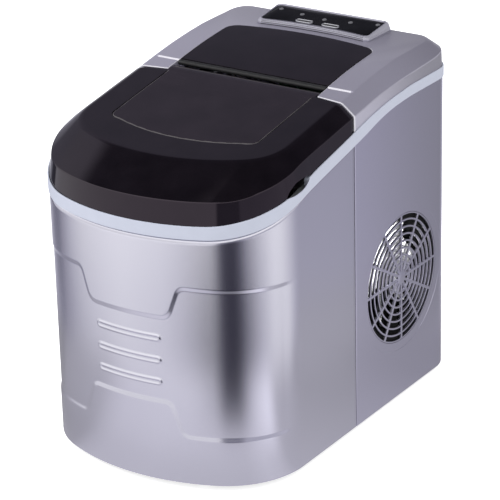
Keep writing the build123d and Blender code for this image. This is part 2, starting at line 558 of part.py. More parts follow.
# pump in the reservoir, its impeller and the hose to the tray
PX, PY = -95.0, -12.0
pu = cyl_z(PX, PY, 30.6, 66, 14.0) - cyl_z(PX, PY, 33, 47, 11.5)
pu -= cyl_z(PX, PY, 25, 34, 6.0)
pu -= cyl_z(PX, PY, 46, 58, 1.5 + RUN)
put("water_pump", pu)
im = cyl_z(PX, PY, 35, 38, 10.0) + cyl_z(PX, PY, 37, 57, 1.5)
for k in range(6):
    im += Pos(PX, PY, 40.5) * Rot(0, 0, 60 * k) * Pos(6.0, 0, 0) * Box(7.6, 1.4, 6)
put("pump_impeller", im)
put("pump_hose", pipe([(PX, PY, 66), (PX, PY, 272), (PX, 20, 272), (-72, 20, 272)], 4.0, [12.0, 6.4]))

# ------------------------------------------------------------------ refrigeration machine
cm = cyl_z(CMP_X, CMP_Y, 30, 128, CMP_R) + Pos(CMP_X, CMP_Y, 128) * (Sphere(CMP_R) & Pos(0, 0, 20) * Box(120, 120, 40) & Pos(0, 0, 0) * Cylinder(CMP_R, 44))
cm -= cyl_z(CMP_X, CMP_Y, 33, 140, CMP_R - 4.0)
cm += box(CMP_X - 14, CMP_X + 14, CMP_Y + CMP_R - 2, CMP_Y + CMP_R + 12, 80, 115)
put("compressor", cm)
cp = box(CMP_X - 50, CMP_X + 50, CMP_Y - 48, CMP_Y + 48, 27.5, 30)
put("compressor_plate", cp)
put("compressor_grommets", [cyl_z(CMP_X + a, CMP_Y + b, 9.4, 27.5, 8.0) for a in (-41, 41) for b in (-39, 39)])

fins = []
for i in range(16):
    fins.append(Pos(34, 80, 66 + i * 6.8) * Box(26, 108, 0.8))
cd = fins[0]
for t in range(6):
    cd += cyl_z(34, 80 - 45 + t * 18.0, 62, 172, 3.6)
for f in fins:
    cd += f
put("condenser", cd)
put("condenser_stand", box(24, 44, 26, 134, 9.4, 12) + box(24, 44, 26, 29, 11, 65.6) + box(33, 44, 131, 134, 11, 65.6))

shroud = cyl_x(FAN_Y, FAN_Z, 82, 117.8, 63.0) - cyl_x(FAN_Y, FAN_Z, 80, 120, 55.0)
for k in range(4):
    shroud += Pos(84, FAN_Y, FAN_Z) * Rot(45 + 90 * k, 0, 0) * Pos(0, 38, 0) * Box(4, 40, 6)
shroud += cyl_x(FAN_Y, FAN_Z, 82, 86, 21.0)
shroud -= cyl_x(FAN_Y, FAN_Z, 80, 90, 10.0)
put("fan_shroud", shroud)
fm = cyl_x(FAN_Y, FAN_Z, 58, 82, 19.0) + cyl_x(FAN_Y, FAN_Z, 81, 87, 9.5) - cyl_x(FAN_Y, FAN_Z, 62, 90, 2.5 + RUN)
put("fan_motor", fm)
rot = cyl_x(FAN_Y, FAN_Z, 90, 108, 15.0) + cyl_x(FAN_Y, FAN_Z, 64, 91, 2.5)
for k in range(7):
    blade = Pos(99, FAN_Y, FAN_Z) * Rot(360 / 7 * k, 0, 0) * Pos(0, 31.5, 0) * Rot(0, -38, 0) * Box(2.0, 37.0, 24.0)
    rot += blade
rot &= cyl_x(FAN_Y, FAN_Z, 60, 109, FAN_R)
put("fan_rotor", rot)

put("filter_drier", cyl_z(4, 152, 70, 128, 9.0))
put("suction_tube", cyl_z(-72, 100, 150.0, 262, 4.0))
put("discharge_tube", pipe([(-40, 76, 150), (-40, 76, 179), (34, 35, 179), (34, 35, 172)], 3.0, [12.0, 5.6]))
put("liquid_tube", pipe([(34, 125, 62), (34, 125, 50), (4, 152, 50), (4, 152, 70)], 3.0, 5.5))
put("capillary_tube", pipe([(4, 152, 128), (4, 152, 170), (60, 152, 205), (72, 152, 252), (72, 110, 252)], 1.6, 9.0))
tee = cyl_z(72, 100, 244, 262, 7.0) + box(68, 76, 104, 110, 248, 256)
put("inlet_tee", tee)
hv = box(-6, 22, 110, 128, 214, 240) + cyl_z(8, 119, 240, 258, 8.0)
put("hot_gas_valve", hv)
put("hot_gas_tube", pipe([(22, 119, 226), (50, 119, 226), (72, 100, 226), (72, 100, 244)], 3.0, 7.5))

pcb = box(-60, 60, 163.0, 164.6, 246, 284)
for x, z, w, h, d in ((-40, 266, 22, 24, 14), (-8, 262, 18, 16, 12), (18, 266, 16, 20, 10), (44, 262, 14, 14, 9)):
    pcb += box(x - w / 2, x + w / 2, 163.0 - d, 163.2, z - h / 2, z + h / 2)
put("control_board", pcb)
put("board_standoffs", [cyl_y(x, z, 164.6, 170.0, 3.0) for x in (-54, 54) for z in (250, 280)])

# fasteners in the underside
put("base_screws", [cyl_z(x, y, 4.6, 6.4, 3.6) for x, y in ((-108, 40), (108, 40), (-60, -150), (60, -150), (-60, 160), (60, 160))])

lo = [1e9] * 3
hi = [-1e9] * 3
for sol in NODES.values():
    for s in sol:
        bb = s.bounding_box()
        for i, (a, b) in enumerate(zip((bb.min.X, bb.min.Y, bb.min.Z), (bb.max.X, bb.max.Y, bb.max.Z))):
            lo[i] = min(lo[i], a)
            hi[i] = max(hi[i], b)
print(len(NODES), "nodes; box", [round(v, 2) for v in lo], [round(v, 2) for v in hi])
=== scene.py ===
import math

import bmesh
import bpy
import numpy as np
from mathutils import Matrix, Vector


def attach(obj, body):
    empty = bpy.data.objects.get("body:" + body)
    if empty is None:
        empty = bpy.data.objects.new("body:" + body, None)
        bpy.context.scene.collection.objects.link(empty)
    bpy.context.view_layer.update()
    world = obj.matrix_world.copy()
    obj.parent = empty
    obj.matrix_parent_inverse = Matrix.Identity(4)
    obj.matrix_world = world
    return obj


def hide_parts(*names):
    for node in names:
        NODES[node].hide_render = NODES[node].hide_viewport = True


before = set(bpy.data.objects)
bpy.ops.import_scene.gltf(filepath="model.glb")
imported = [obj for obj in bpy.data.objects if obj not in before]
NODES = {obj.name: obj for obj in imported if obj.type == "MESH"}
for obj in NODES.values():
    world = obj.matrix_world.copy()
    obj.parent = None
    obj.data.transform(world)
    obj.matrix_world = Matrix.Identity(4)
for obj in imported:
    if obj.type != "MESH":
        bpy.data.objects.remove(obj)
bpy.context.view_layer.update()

PI = math.pi

# =====================================================================================
# shape tools (millimetres; meshes are written in metres)
# =====================================================================================


def pchip(pts):
    """Monotone cubic through (x, y) points, straight beyond the ends."""
    x = np.array([p[0] for p in pts], float)
    y = np.array([p[1] for p in pts], float)
    h = np.diff(x)
    d = np.diff(y) / h
    m = np.zeros(len(x))
    m[0], m[-1] = d[0], d[-1]
    for i in range(1, len(x) - 1):
        if d[i - 1] * d[i] > 0:
            w1, w2 = 2 * h[i] + h[i - 1], h[i] + 2 * h[i - 1]
            m[i] = (w1 + w2) / (w1 / d[i - 1] + w2 / d[i])

    def f(q):
        q = np.asarray(q, float)
        c = np.clip(q, x[0], x[-1])
        i = np.clip(np.searchsorted(x, c, side="right") - 1, 0, len(x) - 2)
        t = (c - x[i]) / h[i]
        v = ((1 + 2 * t) * (1 - t) ** 2 * y[i] + t * (1 - t) ** 2 * h[i] * m[i]
             + t * t * (3 - 2 * t) * y[i + 1] + t * t * (t - 1) * h[i] * m[i + 1])
        return v + np.where(q < x[0], (q - x[0]) * m[0], 0) + np.where(q > x[-1], (q - x[-1]) * m[-1], 0)
    return f


def smooth(a, b, x):
    t = np.clip((np.asarray(x, float) - a) / (b - a), 0, 1)
    return t * t * (3 - 2 * t)


def mesh_object(name, verts, faces, mats, body, stands_for=(), sharp=32.0, face_mats=None):
    me = bpy.data.meshes.new(name)
    me.from_pydata((np.asarray(verts, float) * 0.001).tolist(), [], [list(map(int, f)) for f in faces])
    if face_mats is not None:
        me.polygons.foreach_set("material_index", np.asarray(face_mats, np.int32))
    bm = bmesh.new()
    bm.from_mesh(me)
    bmesh.ops.remove_doubles(bm, verts=bm.verts, dist=2e-7)
    bmesh.ops.dissolve_degenerate(bm, edges=bm.edges, dist=1e-7)
    bmesh.ops.recalc_face_normals(bm, faces=bm.faces)
    bm.to_mesh(me)
    bm.free()
    ob = bpy.data.objects.new(name, me)
    bpy.context.scene.collection.objects.link(ob)
    for m in (mats if isinstance(mats, (list, tuple)) else [mats]):
        me.materials.append(m)
    finish_mesh(ob, sharp)
    if body:
        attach(ob, body)
    if stands_for:
        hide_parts(*stands_for)
    return ob


def finish_mesh(ob, sharp):
    me = ob.data
    me.polygons.foreach_set("use_smooth", np.ones(len(me.polygons), bool))
    me.set_sharp_from_angle(angle=math.radians(sharp))
    me.update()


def paint(ob, mat, chosen):
    """Gives another material to the faces whose centre and normal (mm, unit) are chosen; here it lays painted
    highlights and painted shade.
    """
    me = ob.data
    k = len(me.materials)
    me.materials.append(mat)
    n = len(me.polygons)
    c = np.zeros(n * 3)
    w = np.zeros(n * 3)
    me.polygons.foreach_get("center", c)
    me.polygons.foreach_get("normal", w)
    idx = np.zeros(n, np.int32)
    me.polygons.foreach_get("material_index", idx)
    idx[chosen(c.reshape(-1, 3) * 1000.0, w.reshape(-1, 3))] = k
    me.polygons.foreach_set("material_index", idx)
    me.update()


def near_line(c, line, d):
    """True where a centre lies within d of a polyline's points."""
    out = np.zeros(len(c), bool)
    for a in range(0, len(c), 4000):
        q = c[a:a + 4000]
        out[a:a + 4000] = (((q[:, None, :] - line[None, :, :]) ** 2).sum(2)).min(1) < d * d
    return out


def weighted(ob):
    """Keeps broad faces flat in shading beside their rounded edges."""
    mod = ob.modifiers.new("flat_faces", "WEIGHTED_NORMAL")
    mod.mode = "FACE_AREA"
    mod.weight = 50
    mod.keep_sharp = True
    return ob


def apply_modifiers(ob):
    dg = bpy.context.evaluated_depsgraph_get()
    dg.update()
    new = bpy.data.meshes.new_from_object(ob.evaluated_get(dg), preserve_all_data_layers=True, depsgraph=dg)
    old = ob.data
    ob.modifiers.clear()
    ob.data = new
    if old.users == 0:
        bpy.data.meshes.remove(old)


def cut(ob, cutters, sharp=32.0):
    """Takes closed meshes, given as (verts, faces), out of a piece."""
    verts, faces = [], []
    for v, f in cutters:
        k = len(verts)
        verts += [tuple(p) for p in np.asarray(v, float)]
        faces += [[i + k for i in q] for q in f]
    me = bpy.data.meshes.new("cutter")
    me.from_pydata((np.array(verts) * 0.001).tolist(), [], faces)
    bm = bmesh.new()
    bm.from_mesh(me)
    bmesh.ops.recalc_face_normals(bm, faces=bm.faces)
    bm.to_mesh(me)
    bm.free()
    tool = bpy.data.objects.new("cutter", me)
    bpy.context.scene.collection.objects.link(tool)
    mod = ob.modifiers.new("cut", "BOOLEAN")
    mod.operation = "DIFFERENCE"
    mod.solver = "EXACT"
    mod.object = tool
    apply_modifiers(ob)
    bpy.data.objects.remove(tool)
    finish_mesh(ob, sharp)


def bevel(ob, width, segments=2, angle=40.0, sharp=32.0):
    mod = ob.modifiers.new("edge", "BEVEL")
    mod.width = width * 0.001
    mod.segments = segments
    mod.limit_method = "ANGLE"
    mod.angle_limit = math.radians(angle)
    mod.use_clamp_overlap = True
    apply_modifiers(ob)
    finish_mesh(ob, sharp)


def sweep_faces(n, m, loop=False, caps=True):
    """Quads over n sections of m points each, the sections being closed."""
    f = []
    for i in range(n if loop else n - 1):
        a, b = i * m, ((i + 1) % n) * m
        for j in range(m):
            k = (j + 1) % m
            f.append((a + j, a + k, b + k, b + j))
    if caps and not loop:
        f.append(tuple(range(m)))
        f.append(tuple(range((n - 1) * m + m - 1, (n - 1) * m - 1, -1)))
    return f


def rounded(points, radii, seg=5):
    """Section points, each an (n, 3) array, with corners rounded; returns a list of (n, 3) arrays."""
    out = []
    k = len(points)
    for i in range(k):
        p, r = points[i], radii[i]
        if np.max(r) <= 0:
            out.append(p)
            continue
        a, b = points[i - 1] - p, points[(i + 1) % k] - p
        la = np.linalg.norm(a, axis=1, keepdims=True) + 1e-9
        lb = np.linalg.norm(b, axis=1, keepdims=True) + 1e-9
        s = p + a / la * np.minimum(r, 0.47 * la)
        e = p + b / lb * np.minimum(r, 0.47 * lb)
        for t in np.linspace(0, 1, seg):
            out.append(s * (1 - t) ** 2 + p * 2 * t * (1 - t) + e * t * t)
    return out


def swept(name, section, mats, body, stands_for=(), loop=False, sharp=32.0, strip_mats=None):
    """section: list of (n, 3) arrays, the corners of a closed section at n stations."""
    m, n = len(section), len(section[0])
    v = np.stack(section, axis=1).reshape(-1, 3)
    f = sweep_faces(n, m, loop)
    fm = None
    if strip_mats is not None:
        fm = [strip_mats(q // m, q % m) for q in range((n if loop else n - 1) * m)] + ([0, 0] if not loop else [])
    return mesh_object(name, v, f, mats, body, stands_for, sharp, fm)


def box_solid(x0, x1, y0, y1, z0, z1):
    v = [(x, y, z) for x in (x0, x1) for y in (y0, y1) for z in (z0, z1)]
    return v, [(0, 1, 3, 2), (4, 6, 7, 5), (0, 4, 5, 1), (2, 3, 7, 6), (0, 2, 6, 4), (1, 5, 7, 3)]


def slot_solid(axis, a, c, half_l, r, d0, d1, n=8):
    """Stadium prism: long way along Y (axis X) or X (axis Y); a, c the middle, d0..d1 the depth range."""
    pts = []
    for k in range(n + 1):
        t = -PI / 2 + PI * k / n
        pts.append((half_l - r + r * math.cos(t), r * math.sin(t)))
    for k in range(n + 1):
        t = PI / 2 + PI * k / n
        pts.append((-half_l + r + r * math.cos(t), r * math.sin(t)))
    m = len(pts)
    v = []
    for d in (d0, d1):
        for p, q in pts:
            v.append((d, a + p, c + q) if axis == "X" else (a + p, d, c + q))
    f = [tuple(range(m)), tuple(range(2 * m - 1, m - 1, -1))] + [(i, (i + 1) % m, m + (i + 1) % m, m + i) for i in range(m)]
    return v, f


def lathe(profile, n, axis, centre):
    """Closed solid of revolution; profile is a list of (radius, along), axis 'X', 'Y' or 'Z'."""
    m = len(profile)
    v, f = [], []
    for i in range(n):
        t = 2 * PI * i / n
        for r, h in profile:
            p, q = r * math.cos(t), r * math.sin(t)
            if axis == "X":
                v.append((h, centre[1] + p, centre[2] + q))
            elif axis == "Y":
                v.append((centre[0] + p, h, centre[2] + q))
            else:
                v.append((centre[0] + p, centre[1] + q, h))
    for i in range(n):
        k = (i + 1) % n
        for j in range(m - 1):
            f.append((i * m + j, i * m + j + 1, k * m + j + 1, k * m + j))
    f.append(tuple(i * m for i in range(n)))
    f.append(tuple(i * m + m - 1 for i in range(n - 1, -1, -1)))
    return v, f


# =====================================================================================
# materials
# =====================================================================================


def material(name, base, rough, metallic=0.0, vary=0.06, vary_scale=60.0, rough_vary=0.05, rough_scale=300.0,
             bump=0.02, bump_scale=2500.0, bump_dist=0.0002, second=None, detail=3.0, stretch=None, fade=None, **sockets):
    """Principled material: colour, roughness and relief all carry procedural variation in object space; fade ramps
    scale the colour along an object axis as painted shade.
    """
    m = bpy.data.materials.new(name)
    m.use_nodes = True
    nt = m.node_tree
    nt.nodes.clear()
    out = nt.nodes.new("ShaderNodeOutputMaterial")
    bsdf = nt.nodes.new("ShaderNodeBsdfPrincipled")
    nt.links.new(bsdf.outputs[0], out.inputs[0])
    tc = nt.nodes.new("ShaderNodeTexCoord")
    src = tc.outputs["Object"]
    if stretch:
        mp = nt.nodes.new("ShaderNodeMapping")
        mp.inputs["Scale"].default_value = stretch
        nt.links.new(src, mp.inputs["Vector"])
        src = mp.outputs["Vector"]

    def noise(scale, det=detail, rg=0.55):
        n = nt.nodes.new("ShaderNodeTexNoise")
        n.inputs["Scale"].default_value = scale
        n.inputs["Detail"].default_value = det
        n.inputs["Roughness"].default_value = rg
        nt.links.new(src, n.inputs["Vector"])
        return n
    n1 = noise(vary_scale)
    ramp = nt.nodes.new("ShaderNodeValToRGB")
    b = np.array(base, float)
    s = np.array(second if second is not None else b * (1 - vary * 2), float)
    e = b * (1 + vary) if second is None else b
    ramp.color_ramp.elements[0].position, ramp.color_ramp.elements[1].position = 0.3, 0.7
    ramp.color_ramp.elements[0].color = (*s, 1)
    ramp.color_ramp.elements[1].color = (*np.minimum(e, 1.0), 1)
    nt.links.new(n1.outputs["Fac"], ramp.inputs["Fac"])
    tone = ramp.outputs["Color"]
    # painted shade: the colour scaled by smooth ramps along object axes
    for along, f0, f1, k0, k1 in (fade or ()):
        sx = nt.nodes.new("ShaderNodeSeparateXYZ")
        nt.links.new(tc.outputs["Object"], sx.inputs[0])
        fr = nt.nodes.new("ShaderNodeMapRange")
        fr.interpolation_type = "SMOOTHSTEP"
        fr.inputs["From Min"].default_value, fr.inputs["From Max"].default_value = f0, f1
        fr.inputs["To Min"].default_value, fr.inputs["To Max"].default_value = k0, k1
        nt.links.new(sx.outputs[along], fr.inputs["Value"])
        sm = nt.nodes.new("ShaderNodeVectorMath")
        sm.operation = "SCALE"
        nt.links.new(tone, sm.inputs[0])
        nt.links.new(fr.outputs["Result"], sm.inputs["Scale"])
        tone = sm.outputs["Vector"]
    nt.links.new(tone, bsdf.inputs["Base Color"])
    n2 = noise(rough_scale)
    mr = nt.nodes.new("ShaderNodeMapRange")
    mr.inputs["From Min"].default_value, mr.inputs["From Max"].default_value = 0.25, 0.75
    mr.inputs["To Min"].default_value, mr.inputs["To Max"].default_value = max(0.01, rough - rough_vary), rough + rough_vary
    nt.links.new(n2.outputs["Fac"], mr.inputs["Value"])
    nt.links.new(mr.outputs["Result"], bsdf.inputs["Roughness"])
    if bump > 0:
        n3 = noise(bump_scale, 2.0, 0.5)
        bp = nt.nodes.new("ShaderNodeBump")
        bp.inputs["Strength"].default_value = bump
        bp.inputs["Distance"].default_value = bump_dist
        nt.links.new(n3.outputs["Fac"], bp.inputs["Height"])
        nt.links.new(bp.outputs["Normal"], bsdf.inputs["Normal"])
    bsdf.inputs["Metallic"].default_value = metallic
    for k, val in sockets.items():
        bsdf.inputs[k.replace("_", " ")].default_value = val
    return m


M = {}
# satin silver lacquer: fine flake sparkle in roughness and relief
M["silver_front"] = material("silver_front", (0.61, 0.602, 0.672), 0.19, 1.0, vary=0.025, vary_scale=1800, rough_vary=0.035,
                             rough_scale=2600, bump=0.035, bump_scale=5200)
M["silver_side"] = material("silver_side", (0.605, 0.59, 0.70), 0.32, 1.0, vary=0.025, vary_scale=1800, rough_vary=0.035,
                            rough_scale=2600, bump=0.035, bump_scale=5200)
# cover grey, its own colour with painted shade: lighter at the left and darker towards the rear by fade ramps
M["cover_grey"] = material("cover_grey", (0.36, 0.345, 0.432), 0.40, 0.35, vary=0.03, vary_scale=1600, rough_vary=0.04,
                           rough_scale=2400, bump=0.04, bump_scale=4800, fade=[("X", -0.11, 0.11, 1.12, 0.96), ("Y", 0.06, 0.17, 1.0, 0.76)])
# painted light: a lighter copy of the cover grey for the side skirt, with painted shade darkening it towards the rear
M["cover_skirt_painted_light"] = material("cover_skirt_painted_light", (0.56, 0.545, 0.64), 0.38, 0.35, vary=0.03, vary_scale=1600, rough_vary=0.04,
                            rough_scale=2400, bump=0.04, bump_scale=4800, fade=[("Y", 0.0, 0.14, 1.0, 0.62)])
# painted highlight: a light copy of the cover grey for its edges
M["cover_painted_highlight"] = material("cover_painted_highlight", (0.74, 0.73, 0.79), 0.34, 0.35, vary=0.04, vary_scale=900, rough_vary=0.05,
                           rough_scale=1800, bump=0.03, bump_scale=3600)
# painted highlight: a light line along the top edge of the cover skirt
M["cover_painted_skirt_highlight"] = material("cover_painted_skirt_highlight", (0.47, 0.455, 0.54), 0.36, 0.35, vary=0.04, vary_scale=900, rough_vary=0.05,
                           rough_scale=1800, bump=0.03, bump_scale=3600)
# painted highlight: a lighter smoked grey for the window's rim edge
M["smoked_painted_edge_highlight"] = material("smoked_painted_edge_highlight", (0.085, 0.076, 0.082), 0.42, 0.0, vary=0.10, vary_scale=300, rough_vary=0.06,
                            rough_scale=900, bump=0.02, bump_scale=900)
M["pale_trim"] = material("pale_trim", (0.58, 0.61, 0.725), 0.42, 0.0, vary=0.012, vary_scale=90, rough_vary=0.04,
                          rough_scale=700, bump=0.03, bump_scale=3000)
M["smoked"] = material("smoked", (0.0065, 0.0050, 0.0068), 0.055, 0.0, vary=0.15, vary_scale=40, rough_vary=0.02,
                       rough_scale=900, bump=0.01, bump_scale=260, bump_dist=0.0004, IOR=1.49, Specular_Tint=(1.0, 0.82, 1.0, 1))
M["smoked_window"] = material("smoked_window", (0.030, 0.023, 0.030), 0.05, 0.0, vary=0.12, vary_scale=35, rough_vary=0.02,
                              rough_scale=900, bump=0.01, bump_scale=220, bump_dist=0.0004, IOR=1.49, Transmission_Weight=0.55,
                              Specular_Tint=(1.0, 0.82, 1.0, 1))
M["black_gloss"] = material("black_gloss", (0.0045, 0.0045, 0.006), 0.16, 0.0, vary=0.15, vary_scale=60, rough_vary=0.03,
                            rough_scale=900, bump=0.012, bump_scale=900, Specular_IOR_Level=0.10)
M["console_silver"] = material("console_silver", (0.44, 0.43, 0.51), 0.30, 0.85, vary=0.03, vary_scale=1800, rough_vary=0.04,
                               rough_scale=2400, bump=0.03, bump_scale=5000)
# painted shade: a dark copy of the console silver for the recesses along the front
M["console_painted_recess_shade"] = material("console_painted_recess_shade", (0.10, 0.097, 0.115), 0.38, 0.6, vary=0.05, vary_scale=900, rough_vary=0.05,
                               rough_scale=1800, bump=0.03, bump_scale=4000)
# painted highlight: a light copy of the console silver for the front ridges and the ends
M["console_painted_ridge_highlight"] = material("console_painted_ridge_highlight", (0.56, 0.55, 0.63), 0.30, 0.5, vary=0.03, vary_scale=1500, rough_vary=0.04,
                              rough_scale=2400, bump=0.03, bump_scale=5000)
M["button_silver"] = material("button_silver", (0.55, 0.55, 0.59), 0.28, 0.9, vary=0.03, vary_scale=1500, rough_vary=0.05,
                              rough_scale=2200, bump=0.03, bump_scale=4000)
M["button_dark"] = material("button_dark", (0.045, 0.045, 0.050), 0.35, 0.0, vary=0.08, vary_scale=500, rough_vary=0.06,
                            rough_scale=1500, bump=0.05, bump_scale=2600)
M["lens"] = material("lens", (0.13, 0.13, 0.145), 0.22, 0.0, vary=0.06, vary_scale=900, rough_vary=0.04, rough_scale=1800,
                     bump=0.02, bump_scale=1800)
# black plastic for real black parts, also used as painted shade in the cheek groove and on the rear panel's front edge
M["black_plastic"] = material("black_plastic", (0.012, 0.012, 0.013), 0.55, 0.0, vary=0.15, vary_scale=200, rough_vary=0.08,
                              rough_scale=900, bump=0.12, bump_scale=1800)
M["matt_black"] = material("matt_black", (0.0028, 0.0028, 0.003), 0.7, 0.0, vary=0.2, vary_scale=200, rough_vary=0.08,
                           rough_scale=900, bump=0.12, bump_scale=1800, Specular_IOR_Level=0.2)
M["grille"] = material("grille_silver", (0.605, 0.59, 0.70), 0.32, 1.0, vary=0.025, vary_scale=1800, rough_vary=0.035,
                       rough_scale=2600, bump=0.035, bump_scale=5200)
M["fan_white"] = material("fan_white", (0.70, 0.70, 0.72), 0.40, 0.0, vary=0.03, vary_scale=120, rough_vary=0.06, rough_scale=800,
                          bump=0.05, bump_scale=1500)
M["rubber"] = material("rubber", (0.016, 0.016, 0.017), 0.75, 0.0, vary=0.2, vary_scale=260, rough_vary=0.08, rough_scale=700,
                       bump=0.25, bump_scale=2200)
M["tub_grey"] = material("tub_grey", (0.42, 0.43, 0.45), 0.38, 0.0, vary=0.02, vary_scale=40, rough_vary=0.06, rough_scale=500,
                         bump=0.04, bump_scale=1600)
M["basket_clear"] = material("basket_clear", (0.74, 0.78, 0.82), 0.16, 0.0, vary=0.02, vary_scale=50, rough_vary=0.05,
                             rough_scale=600, bump=0.03, bump_scale=900, IOR=1.49, Transmission_Weight=0.35)
M["white_plastic"] = material("white_plastic", (0.72, 0.73, 0.74), 0.36, 0.0, vary=0.02, vary_scale=60, rough_vary=0.06,
                              rough_scale=700, bump=0.05, bump_scale=1600)
M["hose"] = material("hose", (0.62, 0.66, 0.68), 0.3, 0.0, vary=0.03, vary_scale=80, rough_vary=0.06, rough_scale=500,
                     bump=0.04, bump_scale=900, Transmission_Weight=0.3)
M["steel"] = material("steel", (0.55, 0.55, 0.56), 0.32, 1.0, vary=0.04, vary_scale=300, rough_vary=0.08, rough_scale=900,
                      bump=0.05, bump_scale=1800, stretch=(1, 1, 8))
M["nickel"] = material("nickel", (0.66, 0.65, 0.62), 0.2, 1.0, vary=0.03, vary_scale=200, rough_vary=0.06, rough_scale=900,
                       bump=0.03, bump_scale=1500)
M["copper"] = material("copper", (0.72, 0.36, 0.22), 0.3, 1.0, second=(0.45, 0.21, 0.13), vary_scale=90, rough_vary=0.1,
                       rough_scale=300, bump=0.05, bump_scale=900)
M["aluminium"] = material("aluminium", (0.70, 0.71, 0.72), 0.38, 1.0, vary=0.05, vary_scale=200, rough_vary=0.08, rough_scale=700,
                          bump=0.06, bump_scale=1500)
M["compressor_black"] = material("compressor_black", (0.014, 0.014, 0.015), 0.34, 0.0, vary=0.2, vary_scale=120, rough_vary=0.1,
                                 rough_scale=300, bump=0.12, bump_scale=700)
M["valve"] = material("valve", (0.50, 0.38, 0.14), 0.3, 1.0, vary=0.1, vary_scale=150, rough_vary=0.1, rough_scale=500,
                      bump=0.05, bump_scale=900)
M["pcb"] = material("pcb", (0.03, 0.14, 0.06), 0.4, 0.0, vary=0.2, vary_scale=350, rough_vary=0.1, rough_scale=500,
                    bump=0.08, bump_scale=900)
M["foam"] = material("foam", (0.62, 0.61, 0.57), 0.9, 0.0, vary=0.06, vary_scale=350, rough_vary=0.05, rough_scale=600,
                     bump=0.4, bump_scale=700, bump_dist=0.0006)

# finish of each carried-over solid
FINISH = {
    "base_screws": "steel", "base_tray": "black_plastic", "board_standoffs": "white_plastic", "capillary_tube": "copper",
    "compressor": "compressor_black", "compressor_grommets": "rubber", "compressor_plate": "steel", "condenser": "aluminium",
    "condenser_stand": "steel", "control_board": "pcb", "cord_gland": "black_plastic", "discharge_tube": "copper",
    "display_board": "pcb", "drain_plug": "rubber", "drain_socket": "black_plastic", "evaporator_fingers": "nickel",
    "evaporator_tube": "nickel", "fan_motor": "matt_black", "fan_shroud": "matt_black", "filter_drier": "copper",
    "foam_jacket": "foam", "hinge_brackets": "steel", "hot_gas_tube": "copper", "hot_gas_valve": "valve",
    "ice_basket": "basket_clear", "ice_full_sensors": "black_plastic", "ice_scoop": "basket_clear", "ice_shovel": "white_plastic",
    "ice_slide": "white_plastic", "inlet_tee": "copper", "inner_tub": "tub_grey", "lid_hinge_pins": "steel",
    "lid_inner_frame": "black_plastic", "liquid_tube": "copper", "mechanism_frame": "white_plastic", "pump_hose": "hose",
    "pump_impeller": "white_plastic", "rubber_feet": "rubber", "suction_tube": "copper", "tray_motor": "white_plastic",
    "water_level_sensor": "black_plastic", "water_pump": "black_plastic", "water_tray": "white_plastic",
}
for nm, fin in FINISH.items():
    for sl in NODES[nm].material_slots:
        sl.material = M[fin]

# =====================================================================================
# outline and height profiles
# =====================================================================================
HALF_W, REAR_Y, REAR_R = 121.0, 173.0, 27.0
CX, CY, CR = 45.59, -88.04, 75.41
FCY, FR = 16.03, 189.03
A_C = math.atan2(CY - FCY, CX)
SEAM = 0.4

band_lo = pchip([(-174, 232.5), (-160, 232.9), (-140, 236.6), (-120, 242.2), (-100, 248.8), (-80, 254.9), (-60, 259.8),
                 (-40, 264.4), (-20, 268.9), (0, 273.4), (20, 278.2), (40, 283.6), (60, 287.3), (80, 289.2), (100, 290.0), (174, 290.0)])
band_hi = pchip([(-174, 244.0), (-160, 244.7), (-140, 249.0), (-120, 254.6), (-100, 260.4), (-80, 266.4), (-60, 271.9),
                 (-40, 276.3), (-20, 280.6), (0, 285.1), (20, 289.7), (40, 293.4), (60, 296.3), (80, 298.1), (100, 299.4), (174, 299.6)])
skirt_z = pchip([(-174, 264.0), (-160, 264.3), (-150, 265.0), (-143, 265.8), (-136, 267.3), (-128, 269.6), (-118, 272.2), (-107, 275.2), (-92, 279.1),
                 (-80, 282.4), (-60, 286.2), (-40, 289.4), (-20, 292.8), (0, 296.0), (23, 299.6), (37, 302.0), (53.5, 304.2), (70.5, 305.7), (83, 306.8),
                 (100, 307.6), (118, 308.4), (134, 309.1), (146, 310.0), (154, 311.7), (160, 312.9), (166, 313.8), (174, 314.2)])
LEAN = 2.8
flat_z = pchip([(0, 306.1), (6, 307.0), (27, 310.6), (60, 315.8), (90, 319.0), (107, 320.2), (126, 320.5), (150, 320.7), (166, 321.2), (174, 321.3)])


def lid_flat(y):
    return 306.1 + 0.162 * np.asarray(y, float)


notch_dip = pchip([(-108, 0.0), (-103.5, 0.0), (-99, 0.9), (-95.5, 2.0), (-88.4, 3.5), (-83.7, 4.3), (-79.1, 4.1), (-75.6, 3.2), (-73.6, 1.9),
                   (-72.5, 0.6), (-71.8, 0.0), (-66, 0.0)])
notch_rise = pchip([(-108, 0.0), (-104, 0.0), (-102.7, 1.6), (-100.9, 4.0), (-97.1, 5.8), (-91.6, 7.0), (-85.6, 6.0), (-79.4, 4.4), (-73.9, 2.8),
                    (-70.1, 1.2), (-67.5, 0.0), (-64, 0.0)])


def mirrored(right):
    left = right[:-1][::-1].copy()
    left[:, 0] *= -1
    left[:, 2] *= -1
    return np.vstack([right, left])


def right_front(y_list, n_corner, n_front):
    """Right-hand outline from the side to the front centre: x, y, nx, ny."""
    p = [(HALF_W, y, 1.0, 0.0) for y in y_list]
    for a in np.linspace(0, A_C, n_corner):
        p.append((CX + CR * math.cos(a), CY + CR * math.sin(a), math.cos(a), math.sin(a)))
    for b in np.linspace(A_C, -PI / 2, n_front)[1:]:
        p.append((FR * math.cos(b), FCY + FR * math.sin(b), math.cos(b), math.sin(b)))
    return np.array(p)


